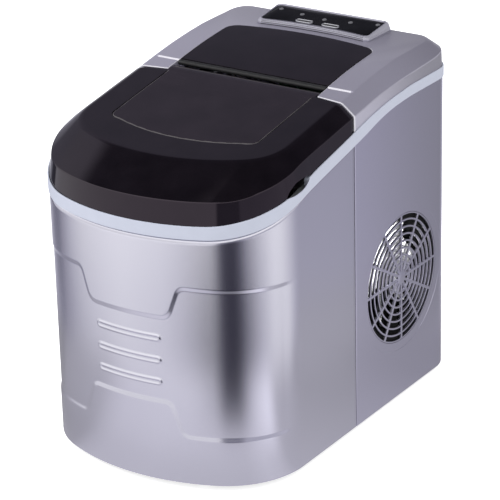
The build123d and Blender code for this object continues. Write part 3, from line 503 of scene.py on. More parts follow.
def right_rear(y_list, n_corner, n_back):
    """Right-hand outline from the side to the back centre."""
    p = [(HALF_W, y, 1.0, 0.0) for y in y_list]
    cx, cy = HALF_W - REAR_R, REAR_Y - REAR_R
    for a in np.linspace(0, PI / 2, n_corner):
        p.append((cx + REAR_R * math.cos(a), cy + REAR_R * math.sin(a), math.cos(a), math.sin(a)))
    for x in np.linspace(cx, 0, n_back)[1:]:
        p.append((x, REAR_Y, 0.0, 1.0))
    return np.array(p)


def pts(path, off, z):
    off = np.broadcast_to(np.asarray(off, float), (len(path),))
    z = np.broadcast_to(np.asarray(z, float), (len(path),))
    return np.column_stack([path[:, 0] + path[:, 2] * off, path[:, 1] + path[:, 3] * off, z])


def end_round(n, dists, r):
    """Inward offset of the outer face near both ends of a wall, so that its edge is rolled."""
    off = np.zeros(n)
    for i, s in enumerate(dists):
        d = r - math.sqrt(max(0.0, r * r - (r - min(s, r)) ** 2))
        off[i] = off[n - 1 - i] = -d
    return off


# =====================================================================================
# front panel: pressed sheet with a waist, three ribs and a rolled top edge
# =====================================================================================
def filleted(points, radii):
    """Open polyline with its inner corners rounded."""
    out = [np.array(points[0], float)]
    for i in range(1, len(points) - 1):
        p, a, b = (np.array(points[k], float) for k in (i, i - 1, i + 1))
        u, v = (a - p) / np.linalg.norm(a - p), (b - p) / np.linalg.norm(b - p)
        half = math.acos(np.clip(np.dot(u, v), -1, 1)) / 2
        t = radii[i - 1] / math.tan(half)
        c = p + (u + v) / np.linalg.norm(u + v) * (radii[i - 1] / math.sin(half))
        s0, s1 = p + u * t - c, p + v * t - c
        a0 = math.atan2(s0[1], s0[0])
        da = (math.atan2(s1[1], s1[0]) - a0 + PI) % (2 * PI) - PI
        for k in range(9):
            q = a0 + da * k / 8
            out.append(c + radii[i - 1] * np.array([math.cos(q), math.sin(q)]))
    out.append(np.array(points[-1], float))
    return np.array(out)


WAIST_UPPER = filleted([(-2, 159.3), (40.3, 159.3), (50.2, 188.0), (130, 184.5)], (10.0, 7.5))
WAIST_LOWER = filleted([(-2, 81.5), (40.1, 81.5), (51.2, 50.8), (130, 48.4)], (8.0, 8.0))


def height_over(line, ax, z):
    """Signed distance from a line that runs from left to right, positive above it."""
    a, b = line[:-1], line[1:]
    e = b - a
    best = np.full(ax.shape, 1e9)
    for i in range(len(a)):
        t = np.clip(((ax - a[i, 0]) * e[i, 0] + (z - a[i, 1]) * e[i, 1]) / (e[i] @ e[i]), 0, 1)
        best = np.minimum(best, np.hypot(ax - a[i, 0] - t * e[i, 0], z - a[i, 1] - t * e[i, 1]))
    return np.where(z > np.interp(ax, line[:, 0], line[:, 1]), best, -best)


def facet(s, w):
    """Ramp from 0 to 1 across a flat facet of width w, with eased ends."""
    t = np.clip(s / w + 0.5, 0, 1)
    return 0.7 * t + 0.3 * t * t * (3 - 2 * t)


def relief(x, z):
    """Inward depth of the pressing."""
    ax = np.abs(x)
    slant = smooth(39.0, 42.5, ax) * (1 - smooth(48.5, 52.0, ax))
    d = 0.85 * facet(-height_over(WAIST_UPPER, ax, z), 3.9 - 1.2 * slant) * facet(height_over(WAIST_LOWER, ax, z), 3.9 + 0.5 * slant) \
        * (1 - smooth(117.5, 120.9, ax))
    for zc in (139.8, 119.4, 99.2):
        q = np.hypot(np.maximum(ax - 29.4, 0), z - zc)
        d = d - 1.05 * (1 - facet(q - 3.05, 1.3)) * (0.22 + 0.78 * facet(q - 1.35, 1.1))
    return d


SEAM_S = [0, 0.08, 0.2, 0.4, 0.65, 0.95]
ys = [SEAM - 0.5 - s for s in SEAM_S] + list(np.linspace(-4, -84, 21))
path = mirrored(right_front(ys, 112, 116))
n = len(path)
roll = end_round(n, SEAM_S, 0.95)
ztop = band_lo(path[:, 1]) - 0.05
outer = []
for t in np.linspace(0, PI / 2, 5):
    outer.append(pts(path, roll - 1.3 * (1 - math.sin(t)), 6.0 + 1.3 * (1 - math.cos(t))))
zs = list(np.arange(10, 46, 4.0)) + list(np.arange(46, 56, 0.5)) + list(np.arange(56, 76, 1.0)) + list(np.arange(76, 87, 0.5)) \
    + list(np.arange(87, 95, 1.0)) + list(np.arange(95, 144.5, 0.45)) + list(np.arange(145, 154, 1.0)) + list(np.arange(154, 165, 0.5)) \
    + list(np.arange(165, 182, 1.0)) + list(np.arange(182, 193, 0.5)) + [194, 200, 206]
for z in zs:
    d = relief(path[:, 0], np.full(n, z)) * (path[:, 1] < -60)
    outer.append(pts(path, roll - d, z))
for f in (0.35, 0.7, 1.0):
    outer.append(pts(path, roll, 206 + (ztop - 5.2 - 206) * f))
roll_r = 4.0 - 2.7 * smooth(-112, -58, path[:, 1])
for u in np.linspace(0, 1, 10):
    a = u * math.radians(72)
    outer.append(pts(path, roll - roll_r * (1 - math.cos(a)), ztop - roll_r * (1 - math.sin(a)) + roll_r * (1 - math.sin(math.radians(72))) * u))
inner = [pts(path, -3.0, ztop), pts(path, -3.0, 206.0), pts(path, -3.0, 100.0), pts(path, -3.0, 6.0)]
front = swept("front_panel_sheet", outer + inner, M["silver_front"], "cabinet", ("front_panel",), sharp=50)
cut(front, [lathe([(15.3, -130), (15.3, -112)], 64, "X", (0, -60.0, 43.0))], sharp=50)

# =====================================================================================
# rear housing: sides and back, with the fan opening, vents and gland hole
# =====================================================================================
FAN_Y, FAN_Z = 80.4, 121.4
ys = [SEAM + 0.5 + s for s in SEAM_S] + list(np.linspace(6, 140, 18))
path = mirrored(right_rear(ys, 22, 12))
n = len(path)
roll = end_round(n, SEAM_S, 0.95)
ztop = band_lo(path[:, 1]) - 0.05
outer = []
for t in np.linspace(0, PI / 2, 5):
    outer.append(pts(path, roll - 1.3 * (1 - math.sin(t)), 6.0 + 1.3 * (1 - math.cos(t))))
for z in (30, 70, 110, 150, 190, 230, 262):
    outer.append(pts(path, roll, z))
for d in (6.0, 1.4, 0.9, 0.5, 0.2, 0.0):
    lip = 0.9 * (1 - d / 1.4) ** 2 if d < 1.4 else 0.0
    outer.append(pts(path, roll - lip, ztop - d))
inner = [pts(path, -3.0, ztop), pts(path, -3.0, 200.0), pts(path, -3.0, 100.0), pts(path, -3.0, 6.0)]
rear = swept("rear_housing_shell", outer + inner, M["silver_side"], "cabinet", ("rear_housing",), sharp=40)
tools = [lathe([(60.8, 112), (60.8, 120.78), (69.2, 120.8), (69.4, 121.0), (70.4, 122.0), (70.4, 130)], 160, "X", (0, FAN_Y, FAN_Z))]
for i in range(9):
    tools.append(slot_solid("X", 92, 62 + i * 13.0, 39.0, 2.5, -130, -112))
for i in range(7):
    tools.append(slot_solid("Y", 0, 150 + i * 12.0, 48.0, 2.25, 160, 182))
tools.append(lathe([(8.2, 160), (8.2, 185)], 48, "Y", (82, 0, 34)))
cut(rear, tools, sharp=30)
weighted(rear)

# =====================================================================================
# fan grille: hub, spokes and ring bars in one moulding
# =====================================================================================
SPOKE = 2.4
rings = [14.5, 21.1, 27.7, 34.3, 40.9, 47.5, 54.1]
rr = [6.4]
for r in rings:
    rr += [r - 0.8, r + 0.8]
rr += [59.2, 60.5]
NS = 8
cols = 12 * (NS + 1)
xf, xb = 120.75, 118.9
gv, gf = [], []
for x in (xf, xb):
    for r in rr:
        h = math.asin(SPOKE / 2 / r)
        for j in range(12):
            a0, a1 = math.radians(30 * j) + h, math.radians(30 * (j + 1)) - h
            for k in range(NS + 1):
                a = a0 + (a1 - a0) * k / NS
                gv.append((x, FAN_Y + r * math.cos(a), FAN_Z + r * math.sin(a)))
nr = len(rr)
half = nr * cols


def gi(side, i, c):
    return side * half + i * cols + c % cols


def open_cell(i, c):
    if i < 0 or i >= nr - 1:
        return False
    return i % 2 == 0 and i < nr - 2 and c % (NS + 1) != NS


for i in range(nr - 1):
    for c in range(cols):
        if open_cell(i, c):
            for a, b, gone in ((gi(0, i, c), gi(0, i, c + 1), open_cell(i - 1, c)), (gi(0, i + 1, c + 1), gi(0, i + 1, c), open_cell(i + 1, c)),
                               (gi(0, i + 1, c), gi(0, i, c), open_cell(i, (c - 1) % cols)), (gi(0, i, c + 1), gi(0, i + 1, c + 1), open_cell(i, (c + 1) % cols))):
                if not gone:
                    gf.append((a, b, b + half, a + half))
        else:
            gf.append((gi(0, i, c), gi(0, i, c + 1), gi(0, i + 1, c + 1), gi(0, i + 1, c)))
            gf.append((gi(1, i, c), gi(1, i + 1, c), gi(1, i + 1, c + 1), gi(1, i, c + 1)))
for c in range(cols):
    gf.append((gi(0, nr - 1, c), gi(0, nr - 1, c + 1), gi(1, nr - 1, c + 1), gi(1, nr - 1, c)))
gf.append(tuple(gi(0, 0, c) for c in range(cols)))
gf.append(tuple(gi(1, 0, c) for c in range(cols - 1, -1, -1)))
grille = mesh_object("fan_grille_moulding", gv, gf, M["grille"], "cabinet", ("fan_grille",), 35)
bevel(grille, 0.32, 2, 50, 35)

# =====================================================================================
# fan rotor: domed hub and twisted blades
# =====================================================================================
fv, ff = lathe([(2.5, 64.0), (2.5, 90.0), (14.4, 90.0), (15.0, 90.6), (15.0, 104.5), (14.2, 106.6), (12.2, 107.8), (8.0, 108.2), (1.0, 108.3)],
               48, "X", (0, FAN_Y, FAN_Z))
fv = [tuple(p) for p in fv]
ff = [tuple(q) for q in ff]
BN_R, BN_C = 12, 9
for k in range(7):
    th0 = 2 * PI * k / 7 + 0.12
    base_i = len(fv)
    for side in (1, -1):
        for i in range(BN_R):
            s = i / (BN_R - 1)
            r = 13.0 + 36.6 * s
            pitch = math.radians(42 - 15 * s)
            chord = 19.0 + 9.0 * math.sin(PI * min(1, 0.25 + 0.75 * s) * 0.62)
            for j in range(BN_C):
                t = j / (BN_C - 1) - 0.5
                c = chord * t
                th = 0.95 * math.sqrt(max(0.0, 1 - (2 * t) ** 2)) + 0.12
                camber = 2.2 * (1 - (2 * t) ** 2)
                tang = c * math.cos(pitch) - math.sin(pitch) * (camber + side * th * 0.5)
                ax = 98.6 - c * math.sin(pitch) - math.cos(pitch) * (camber + side * th * 0.5)
                a = th0 + tang / r + 0.16 * s
                fv.append((ax, FAN_Y + r * math.cos(a), FAN_Z + r * math.sin(a)))
    q = BN_R * BN_C
    for i in range(BN_R - 1):
        for j in range(BN_C - 1):
            a = base_i + i * BN_C + j
            ff.append((a, a + 1, a + BN_C + 1, a + BN_C))
            ff.append((a + q, a + q + BN_C, a + q + BN_C + 1, a + q + 1))
    for j in range(BN_C - 1):
        a, b = base_i + j, base_i + (BN_R - 1) * BN_C + j
        ff.append((a, a + q, a + q + 1, a + 1))
        ff.append((b, b + 1, b + q + 1, b + q))
    for i in range(BN_R - 1):
        a, b = base_i + i * BN_C, base_i + i * BN_C + BN_C - 1
        ff.append((a, a + BN_C, a + BN_C + q, a + q))
        ff.append((b, b + q, b + BN_C + q, b + BN_C))
mesh_object("fan_rotor_moulding", fv, ff, M["fan_white"], "fan", ("fan_rotor",), 40)

# =====================================================================================
# trim band with a finger notch on each side
# =====================================================================================
ys = list(np.linspace(140, -64, 52)) + list(np.arange(-65, CY + 0.3, -0.5))
rf = right_front(ys, 92, 60)
rb = right_rear([], 24, 14)
loop_r = np.vstack([rb[::-1][1:], rf])       # from near the back centre round to the front centre
left = loop_r[:-1][::-1].copy()
left[:, 0] *= -1
left[:, 2] *= -1
back_mid = np.array([[0.0, REAR_Y, 0.0, 1.0]])
path = np.vstack([back_mid, loop_r, left])
yy = path[:, 1]
lo = band_lo(yy)
hi = band_hi(yy)
on_side = np.abs(path[:, 0]) > 90
dip = np.where(on_side, notch_dip(np.clip(yy, -108, -66)), 0)
hi = hi - dip
near_notch = smooth(0.15, 0.9, dip)
rim = -0.25 + 0.5 * near_notch
back = -5.0 + 4.6 * near_notch
sec = rounded([pts(path, 1.0, lo), pts(path, 1.0, hi), pts(path, rim, hi), pts(path, rim - 0.15, hi - 1.6), pts(path, back, hi - 1.6), pts(path, -5.0, lo)],
              [0.4, 0.75, 0.12, 0, 0, 0.4], 5)
weighted(swept("top_trim_ring", sec, M["pale_trim"], "cabinet", ("top_trim_band",), loop=True, sharp=45))

# =====================================================================================
# lid: dark skirt, broad bevel and flat rim, with the window plate let in
# =====================================================================================
N1, N2, N3 = 100, 76, 56
SIDE_T = np.linspace(0, 1, N1)


def bez(p0, p1, p2, p3, t):
    t = np.asarray(t)[:, None]
    p0, p1, p2, p3 = map(np.array, (p0, p1, p2, p3))
    return (1 - t) ** 3 * p0 + 3 * t * (1 - t) ** 2 * p1 + 3 * t * t * (1 - t) * p2 + t ** 3 * p3


def arc_pts(cx, cy, r, a0, a1, k):
    a = np.linspace(a0, a1, k)
    return np.column_stack([cx + r * np.cos(a), cy + r * np.sin(a)])


def curve_normals(c):
    d = np.gradient(c, axis=0)
    d /= np.linalg.norm(d, axis=1, keepdims=True) + 1e-12
    return np.column_stack([-d[:, 1], d[:, 0]])


def mirror_curve(c):
    l = c[:-1][::-1].copy()
    l[:, 0] *= -1
    return np.vstack([c, l])


# outline, flat edge and window edge, station by station from the right rear to the front centre
o_side = np.column_stack([np.full(N1, HALF_W - 0.6), 0.9 + (CY - 0.9) * SIDE_T])
o_corner = arc_pts(CX, CY, CR - 0.6, 0, A_C, N2)[1:]
o_front = arc_pts(0, FCY, FR - 0.6, A_C, -PI / 2, N3)[1:]
O = mirror_curve(np.vstack([o_side, o_corner, o_front]))
s_side = np.column_stack([np.full(N1, HALF_W - 0.6 - LEAN), 5.4 + (CY - 5.4) * SIDE_T])
s_corner = arc_pts(CX, CY, CR - 0.6 - LEAN, 0, A_C, N2)[1:]
s_front = arc_pts(0, FCY, FR - 0.6 - LEAN, A_C, -PI / 2, N3)[1:]
S = mirror_curve(np.vstack([s_side, s_corner, s_front]))
f_side = np.column_stack([np.full(N1, 104.2), 5.8 + (-72 - 5.8) * SIDE_T])
f_corner = bez((104.2, -72), (104.2, -90), (97, -103), (80, -110.6), np.linspace(0, 1, N2))[1:]
b0 = math.atan2(-110.6 - 59.5, 80)
f_front = arc_pts(0, 59.5, math.hypot(80, 170.1), b0, -PI / 2, N3)[1:]
F = mirror_curve(np.vstack([f_side, f_corner, f_front]))
GX = 76.0
g_side = np.column_stack([np.full(N1, GX), 8.7 + (-75.0 - 8.7) * SIDE_T])
g_corner = bez((GX, -75.0), (GX, -82.0), (71.0, -85.2), (63.5, -85.95), np.linspace(0, 1, N2))[1:]
gcy = -96.4 + 189.0
b1 = math.atan2(-85.95 - gcy, 63.5)
g_front = arc_pts(0, gcy, math.hypot(63.5, gcy + 85.95), b1, -PI / 2, N3)[1:]
G = mirror_curve(np.vstack([g_side, g_corner, g_front]))
G[np.abs(G[:, 1]) < 0, 0] *= 1
NG = curve_normals(G)
NO = curve_normals(O)
NF = curve_normals(F)
if np.dot(NO[0], [1, 0]) < 0:
    NO, NF, NG = -NO, -NF, -NG


def lift(c, z):
    return np.column_stack([c, np.broadcast_to(z, (len(c),))])


on_side = np.abs(O[:, 0]) > 90
zb = band_hi(O[:, 1]) - 0.5
zb = zb + np.where(on_side, notch_rise(np.clip(O[:, 1], -108, -64)), 0)
zk = skirt_z(S[:, 1])
zf = lid_flat(F[:, 1])
rear_dip = np.clip(1 - (5.4 - S[:, 1]) / 4.6, 0, 1)
zk = zk - 1.1 * rear_dip
zf = zf - 1.0 * rear_dip
S = S - NO * (0.5 * rear_dip)[:, None]
zg = lid_flat(G[:, 1])
Gi = G - NG * 4.0
corners = [lift(O - NO * (0.7 * rear_dip)[:, None], zb), lift(S, zk), lift(F, zf), lift(G, zg), lift(G, zg - 1.3), lift(Gi, lid_flat(Gi[:, 1]) - 1.3), lift(Gi, lid_flat(Gi[:, 1]) - 2.8),
           lift(F - NF * 1.2, zf - 2.8), lift(S - NO * 2.2, zk - 2.0), lift(O - NO * 2.6, zb)]
sec = rounded(corners, [0.25, 0.8, 4.0, 0.25, 0, 0, 0, 0, 1.6, 0.3], 7)
weighted(swept("lid_ring", sec, M["smoked"], "lid", ("lid_shell",), sharp=40))

# window plate with the hinge tongue and its round nose
HY, HZ, HR = 17.5, 303.2, 4.7
gap = 0.75
right_c = (G - NG * gap)[: len(G) // 2 + 1]
wx = right_c[N1 - 1:, 0]
wy = right_c[N1 - 1:, 1]
order = np.argsort(wx)
wx, wy = wx[order], wy[order]
xs = np.concatenate([np.linspace(0, 60, 25), np.linspace(61, 70, 16), 70 + (wx.max() - 70) * (1 - np.cos(np.linspace(0.12, PI / 2, 22)))])
xs = np.unique(np.clip(np.concatenate([xs, wx.max() - np.array([0.0, 0.3, 0.6, 0.9])]), 0, wx.max() - 1e-4))
xs = np.concatenate([-xs[::-1][:-1], xs])
yfront = np.interp(np.abs(xs), wx, wy)
pl = []


def plate_row(y, z):
    y = np.broadcast_to(np.asarray(y, float), xs.shape)
    z = np.broadcast_to(np.asarray(z, float), xs.shape)
    k = 1 + (77.3 / wx.max() - 1) * smooth(6.0, 8.6, y)
    return np.column_stack([xs * k, y, z])


rim_line = np.column_stack([np.concatenate([-wx[::-1], wx, np.full(60, wx.max()), np.full(60, -wx.max())]),
                            np.concatenate([wy[::-1], wy, np.linspace(wy.max(), 9, 60), np.linspace(wy.max(), 9, 60)])])


def rim_drop(x, y):
    """Chamfer of the window's edge: drop below the flat by distance from its outline."""
    y = np.broadcast_to(np.asarray(y, float), x.shape)
    d = np.sqrt(((np.column_stack([x, y])[:, None, :] - rim_line[None]) ** 2).sum(2)).min(1)
    return 0.5 * np.clip(1 - d / 0.85, 0, 1) * (1 - smooth(5.0, 7.5, y))


pl.append(plate_row(yfront, lid_flat(yfront) - 1.25))
pl.append(plate_row(yfront, lid_flat(yfront) - 0.5))
for q in (0.3, 0.6, 0.9, 1.6):
    pl.append(plate_row(yfront + q, lid_flat(yfront + q) - rim_drop(xs, yfront + q)))
for s in (0.05, 0.15, 0.35, 0.55, 0.75, 0.9):
    y = (yfront + 1.6) * (1 - s) + 5.5 * s
    pl.append(plate_row(y, lid_flat(y) - rim_drop(xs, y)))
for y in (5.8, 6.6, 7.4, 8.2, 9.0, 12.0):
    pl.append(plate_row(y, lid_flat(y)))
for a in np.linspace(math.radians(99), math.radians(-90), 15):
    pl.append(plate_row(HY + HR * math.cos(a), HZ + HR * math.sin(a)))
pl.append(plate_row(8.0, 299.4))
pl.append(plate_row(-10.0, lid_flat(-10.0) - 4.6))
pl.append(plate_row(-16.0, lid_flat(-16.0) - 2.8))
ym = np.minimum(yfront + 5.0, -20)
pl.append(plate_row(ym, lid_flat(ym) - 2.8))
pl.append(plate_row(ym - 0.4, lid_flat(ym) - 1.25))
window = swept("lid_window", pl, M["smoked_window"], "lid", (), sharp=20)
# painted highlight on the up-facing faces along the window's rim
paint(window, M["smoked_painted_edge_highlight"], lambda c, w: (w[:, 2] > 0.3) & (c[:, 1] < 5.0) & (np.sqrt(((c[:, None, :2] - rim_line[None]) ** 2).sum(2)).min(1) < 0.8))
weighted(window)

# =====================================================================================
# top cover: cheeks beside the lid tongue, bevelled sides and the flat rear deck
# =====================================================================================
KA, KB, KC, KD, KE = 26, 40, 60, 28, 18
tA, tB, tC = np.linspace(0, 1, KA), np.linspace(0, 1, KB), np.linspace(0, 1, KC)
dd = np.array([0, 0.12, 0.35, 0.7, 1.15, 1.6])
tA = np.concatenate([dd / 18.0, np.linspace(0.11, 1, KA)])


def side_curve(x_a, y_a, x_c, y_c):
    a = np.column_stack([np.full(len(tA), x_a), y_a + (24.0 - y_a) * tA])
    b = np.column_stack([x_a + (x_c - x_a) * smooth(24.0, 26.0, 24 + 8 * tB), 24.0 + 8.0 * tB])[1:]
    c = np.column_stack([np.full(KC, x_c), 32.0 + (y_c - 32.0) * tC])[1:]
    return np.vstack([a, b, c])


Oc = np.vstack([side_curve(HALF_W - 0.6, 1.9, HALF_W - 0.6, 146.0), arc_pts(94, 146, 26.4, 0, PI / 2, KD)[1:],
                np.column_stack([np.linspace(94, 0, KE), np.full(KE, 172.4)])[1:]])
rear_lean = LEAN - 2.3 * smooth(0, 0.6, np.linspace(0, PI / 2, KD))
Sc = np.vstack([side_curve(HALF_W - 0.6 - LEAN, 6.4, HALF_W - 0.6 - LEAN, 146.0),
                (np.array([94.0, 146.0]) + (26.4 - rear_lean)[:, None] * arc_pts(0, 0, 1.0, 0, PI / 2, KD))[1:],
                np.column_stack([np.linspace(94, 0, KE), np.full(KE, 172.4 - rear_lean[-1])])[1:]])
Fc = np.vstack([side_curve(104.4, 6.8, 104.4, 150.0), arc_pts(87.9, 150, 16.5, 0, PI / 2, KD)[1:],
                np.column_stack([np.linspace(87.9, 0, KE), np.full(KE, 166.5)])[1:]])
RW_Y1, RW_ARC, RW_CX, RW_CR = 119.3, 300.0, 64.0, 13.0
RW_ACY = RW_Y1 - RW_ARC
RW_CY = RW_ACY + math.sqrt((RW_ARC - RW_CR) ** 2 - RW_CX ** 2)
RW_A = math.atan2(RW_CY - RW_ACY, RW_CX)
Ic = np.vstack([side_curve(78.2, 9.8, RW_CX + RW_CR + 0.5, RW_CY), arc_pts(RW_CX, RW_CY, RW_CR + 0.5, 0, RW_A, KD)[1:],
                arc_pts(0, RW_ACY, RW_ARC + 0.5, RW_A, PI / 2, KE)[1:]])
Oc, Sc, Fc, Ic = mirror_curve(Oc), mirror_curve(Sc), mirror_curve(Fc), mirror_curve(Ic)
nO, nF, nI = curve_normals(Oc), curve_normals(Fc), curve_normals(Ic)
if np.dot(nO[0], [1, 0]) < 0:
    nO, nF, nI = -nO, -nF, -nI
front_roll = np.zeros(len(Oc))
for i, s in enumerate(dd):
    v = 0.6 * (1.6 - math.sqrt(max(0, 2.56 - (1.6 - s) ** 2)))
    front_roll[i] = front_roll[len(Oc) - 1 - i] = v
g_at = Ic[:, 1]
cheek = np.abs(Ic[:, 0]) > 77.0
groove = np.where(cheek & (g_at < 40), 1.3 * np.interp(g_at, [25.1, 25.3, 27.0, 28.1], [0, 1.0, 1.0, 0]), 0)
zb = band_hi(Oc[:, 1]) - 0.6
zk = skirt_z(Sc[:, 1])
zf = flat_z(Fc[:, 1]) - front_roll
zi = flat_z(Ic[:, 1]) - front_roll
Fi = Fc + (Ic - Fc) * 0.12
zfi = zf + (zi - zf) * 0.12 - groove
Im = Fc + (Ic - Fc) * 0.95
zim = zf + (zi - zf) * 0.95 - groove
seat = 0.3 + 5.0 * smooth(25.0, 30.0, Ic[:, 1])
drop = 9.0 - 6.3 * smooth(25.0, 30.0, Ic[:, 1])
Il = Ic - nI * seat[:, None]
corners = [lift(Oc - nO * front_roll[:, None], zb), lift(Sc - nO * front_roll[:, None], zk - 0.4 * front_roll), lift(Fc, zf), lift(Fi, zfi), lift(Im, zim), lift(Ic, zi - groove * 0.9),
           lift(Ic, zi - drop), lift(Il, zi - drop), lift(Il, zi - drop - 2.2), lift(Ic + nI * 2.6, zi - drop - 2.2), lift(Ic + nI * 2.6, zi - 3.2),
           lift(Fc - nF * 1.5, zf - 3.2), lift(Sc - nO * 2.4, zk - 2.2), lift(Oc - nO * 2.8, zb)]
edge_r = (5.0 - 3.6 * smooth(150.0, 165.0, Fc[:, 1]))[:, None]
sec = rounded(corners, [0.3, 1.0, edge_r, 0, 0, 0.6, 0, 0, 0, 0, 0, 0, 1.6, 0.3], 6)
cover = swept("top_cover_shell", sec, M["cover_grey"], "cabinet", ("top_cover",), sharp=38)
cut(cover, [box_solid(-51, 51, 133.0, 156.0, 300, 345)], sharp=38)
fine = np.linspace(0, len(Sc) - 1, 6 * len(Sc))
skirt_top, inner_top = (np.column_stack([np.interp(fine, np.arange(len(q)), q[:, k]) for k in range(3)]) for q in (lift(Sc, zk), lift(Ic, zi)))
# painted light: the lighter skirt copy laid on the side skirt faces
paint(cover, M["cover_skirt_painted_light"], lambda c, w: (np.abs(w[:, 2]) < 0.35) & (c[:, 2] < np.interp(c[:, 1], [0, 174], [304, 304]) + 6) & (w[:, 0] * np.sign(c[:, 0]) > 0.5)
      & (np.abs(c[:, 0]) > 115) & (c[:, 2] < skirt_z(c[:, 1]) + 0.2))
# painted highlight along the skirt's top edge
paint(cover, M["cover_painted_skirt_highlight"], lambda c, w: near_line(c, skirt_top, 0.55))
# painted highlight along the front lip edges, the cheeks' inner top edge and the front-facing flank of the cheek groove
front_lip_highlight_line = np.vstack([lift(Oc[:1] - nO[:1] * front_roll[:1, None], zb[:1]) * (1 - t) + lift(Sc[:1], zk[:1]) * t for t in np.linspace(0, 1, 30)]
                      + [lift(Sc[:1], zk[:1]) * (1 - t) + lift(Fc[:1], zf[:1]) * t for t in np.linspace(0, 1, 40)]
                      + [lift(Fc[:1], zf[:1]) * (1 - t) + lift(Ic[:1], zi[:1]) * t for t in np.linspace(0, 1, 60)])
highlight_lip_lines = np.vstack([front_lip_highlight_line, front_lip_highlight_line * np.array([-1, 1, 1])])
paint(cover, M["cover_painted_highlight"], lambda c, w: near_line(c, highlight_lip_lines, 1.1) | (near_line(c, inner_top, 0.75) & (w[:, 2] > 0.2))
      | ((c[:, 1] > 26.8) & (c[:, 1] < 28.3) & (np.abs(c[:, 0]) > 77.5) & (np.abs(c[:, 0]) < 101.4) & (w[:, 1] < -0.35) & (w[:, 2] > 0.3)))
# painted shade: black in the bottom of the cheek groove
paint(cover, M["black_plastic"], lambda c, w: (c[:, 1] > 25.2) & (c[:, 1] < 26.95) & (np.abs(c[:, 0]) > 77.5) & (np.abs(c[:, 0]) < 101.8) & (w[:, 2] > 0.8)
      & (c[:, 2] < flat_z(c[:, 1]) - 0.9) & (c[:, 2] > flat_z(c[:, 1]) - 1.7))
weighted(cover)

# =====================================================================================
# smoked rear panel with a bullnose along its front edge
# =====================================================================================
RW_BX = RW_CX + RW_CR * math.cos(RW_A)
xs2 = np.concatenate([np.linspace(0, RW_BX, 22), RW_CX + RW_CR * np.cos(np.linspace(RW_A, 0, 18))[1:]])
xs2 = np.concatenate([-xs2[::-1][:-1], xs2])
ax2 = np.abs(xs2)
yr = np.where(ax2 <= RW_BX, RW_ACY + np.sqrt(RW_ARC ** 2 - np.minimum(ax2, RW_BX) ** 2), RW_CY + np.sqrt(np.maximum(0, RW_CR ** 2 - (ax2 - RW_CX) ** 2)))
rw = []


def rw_row(y, z):
    y = np.broadcast_to(np.asarray(y, float), xs2.shape)
    z = np.broadcast_to(np.asarray(z, float), xs2.shape)
    return np.column_stack([xs2, y, z])


def rz(y):
    return flat_z(y) + 0.55


rw.append(rw_row(yr, rz(yr) - 3.0))
rw.append(rw_row(yr, rz(yr) - 0.12))
rw.append(rw_row(yr - 0.04, rz(yr) - 0.03))
rw.append(rw_row(yr - 0.12, rz(yr - 0.12)))
for s in (0.1, 0.25, 0.4, 0.55, 0.7, 0.85, 0.95):
    y = (yr - 0.12) * (1 - s) + 29.1 * s
    rw.append(rw_row(y, rz(y)))
rw.append(rw_row(29.1, rz(29.1)))
rw.append(rw_row(28.95, rz(28.95) - 0.12))
rw.append(rw_row(28.9, rz(28.9) - 1.5))
rw.append(rw_row(28.2, rz(28.2) - 1.5))
rw.append(rw_row(28.1, rz(28.1) - 0.4))
rw.append(rw_row(27.8, rz(27.8) - 0.25))
rw.append(rw_row(27.2, rz(27.2) - 0.2))
for a in np.linspace(math.radians(85), math.radians(270), 11):
    rw.append(rw_row(26.0 + 2.2 * math.cos(a), 308.75 + 2.2 * math.sin(a)))
rw.append(rw_row(30.0, rz(30.0) - 3.2))
y = yr * 0.5 + 30 * 0.5
rw.append(rw_row(y, rz(y) - 3.1))
rear_plate = swept("rear_window_plate", rw, M["smoked"], "cabinet", ("rear_window_panel",), sharp=35)
# painted shade: black over the bullnose and step along the rear panel's front edge, standing for the dark gap line
paint(rear_plate, M["black_plastic"], lambda c, w: c[:, 1] < 28.3)
weighted(rear_plate)

# =====================================================================================
# control console
# =====================================================================================
TILT = math.radians(6.75)
F_Y, F_Z = 130.7, 325.2
SL = math.tan(TILT)


def rrect(hx, y0, y1, r, k=7):
    p = []
    for cx, cy, a0 in ((hx - r, y1 - r, 0.0), (-hx + r, y1 - r, PI / 2), (-hx + r, y0 + r, PI), (hx - r, y0 + r, 1.5 * PI)):
        for i in range(k):
            a = a0 + PI / 2 * i / (k - 1)
            p.append((cx + r * math.cos(a), cy + r * math.sin(a)))
    return np.array(p)


def plane_z(y, d=0.0):
    return F_Z + (np.asarray(y, float) - F_Y) * SL + d


def con_loop(hf, hr, y0, y1, r0, r1, bow, k=7, m=25):
    """Console outline in plan: hf, hr half widths at front and rear, y0 on the centre line, bow the radius of the front edge."""
    right = []
    for i in range(k):
        a = PI / 2 * (1 - i / (k - 1))
        right.append((hr - r1 + r1 * math.cos(a), y1 - r1 + r1 * math.sin(a)))
    yf = y0 - (hf - r0) ** 2 / (2 * bow)
    lean = math.atan2(hr - hf, y1 - r1 - yf - r0)
    for i in range(k):
        a = -lean - (PI / 2 - lean) * i / (k - 1)
        right.append((hf - r0 + r0 * math.cos(a), yf + r0 + r0 * math.sin(a)))
    right = np.array(right)
    xs_ = np.linspace(hf - r0, -(hf - r0), m)[1:-1]
    front_ = np.column_stack([xs_, y0 - xs_ ** 2 / (2 * bow)])
    left_ = right[::-1] * np.array([-1, 1])
    return np.vstack([right, front_, left_])


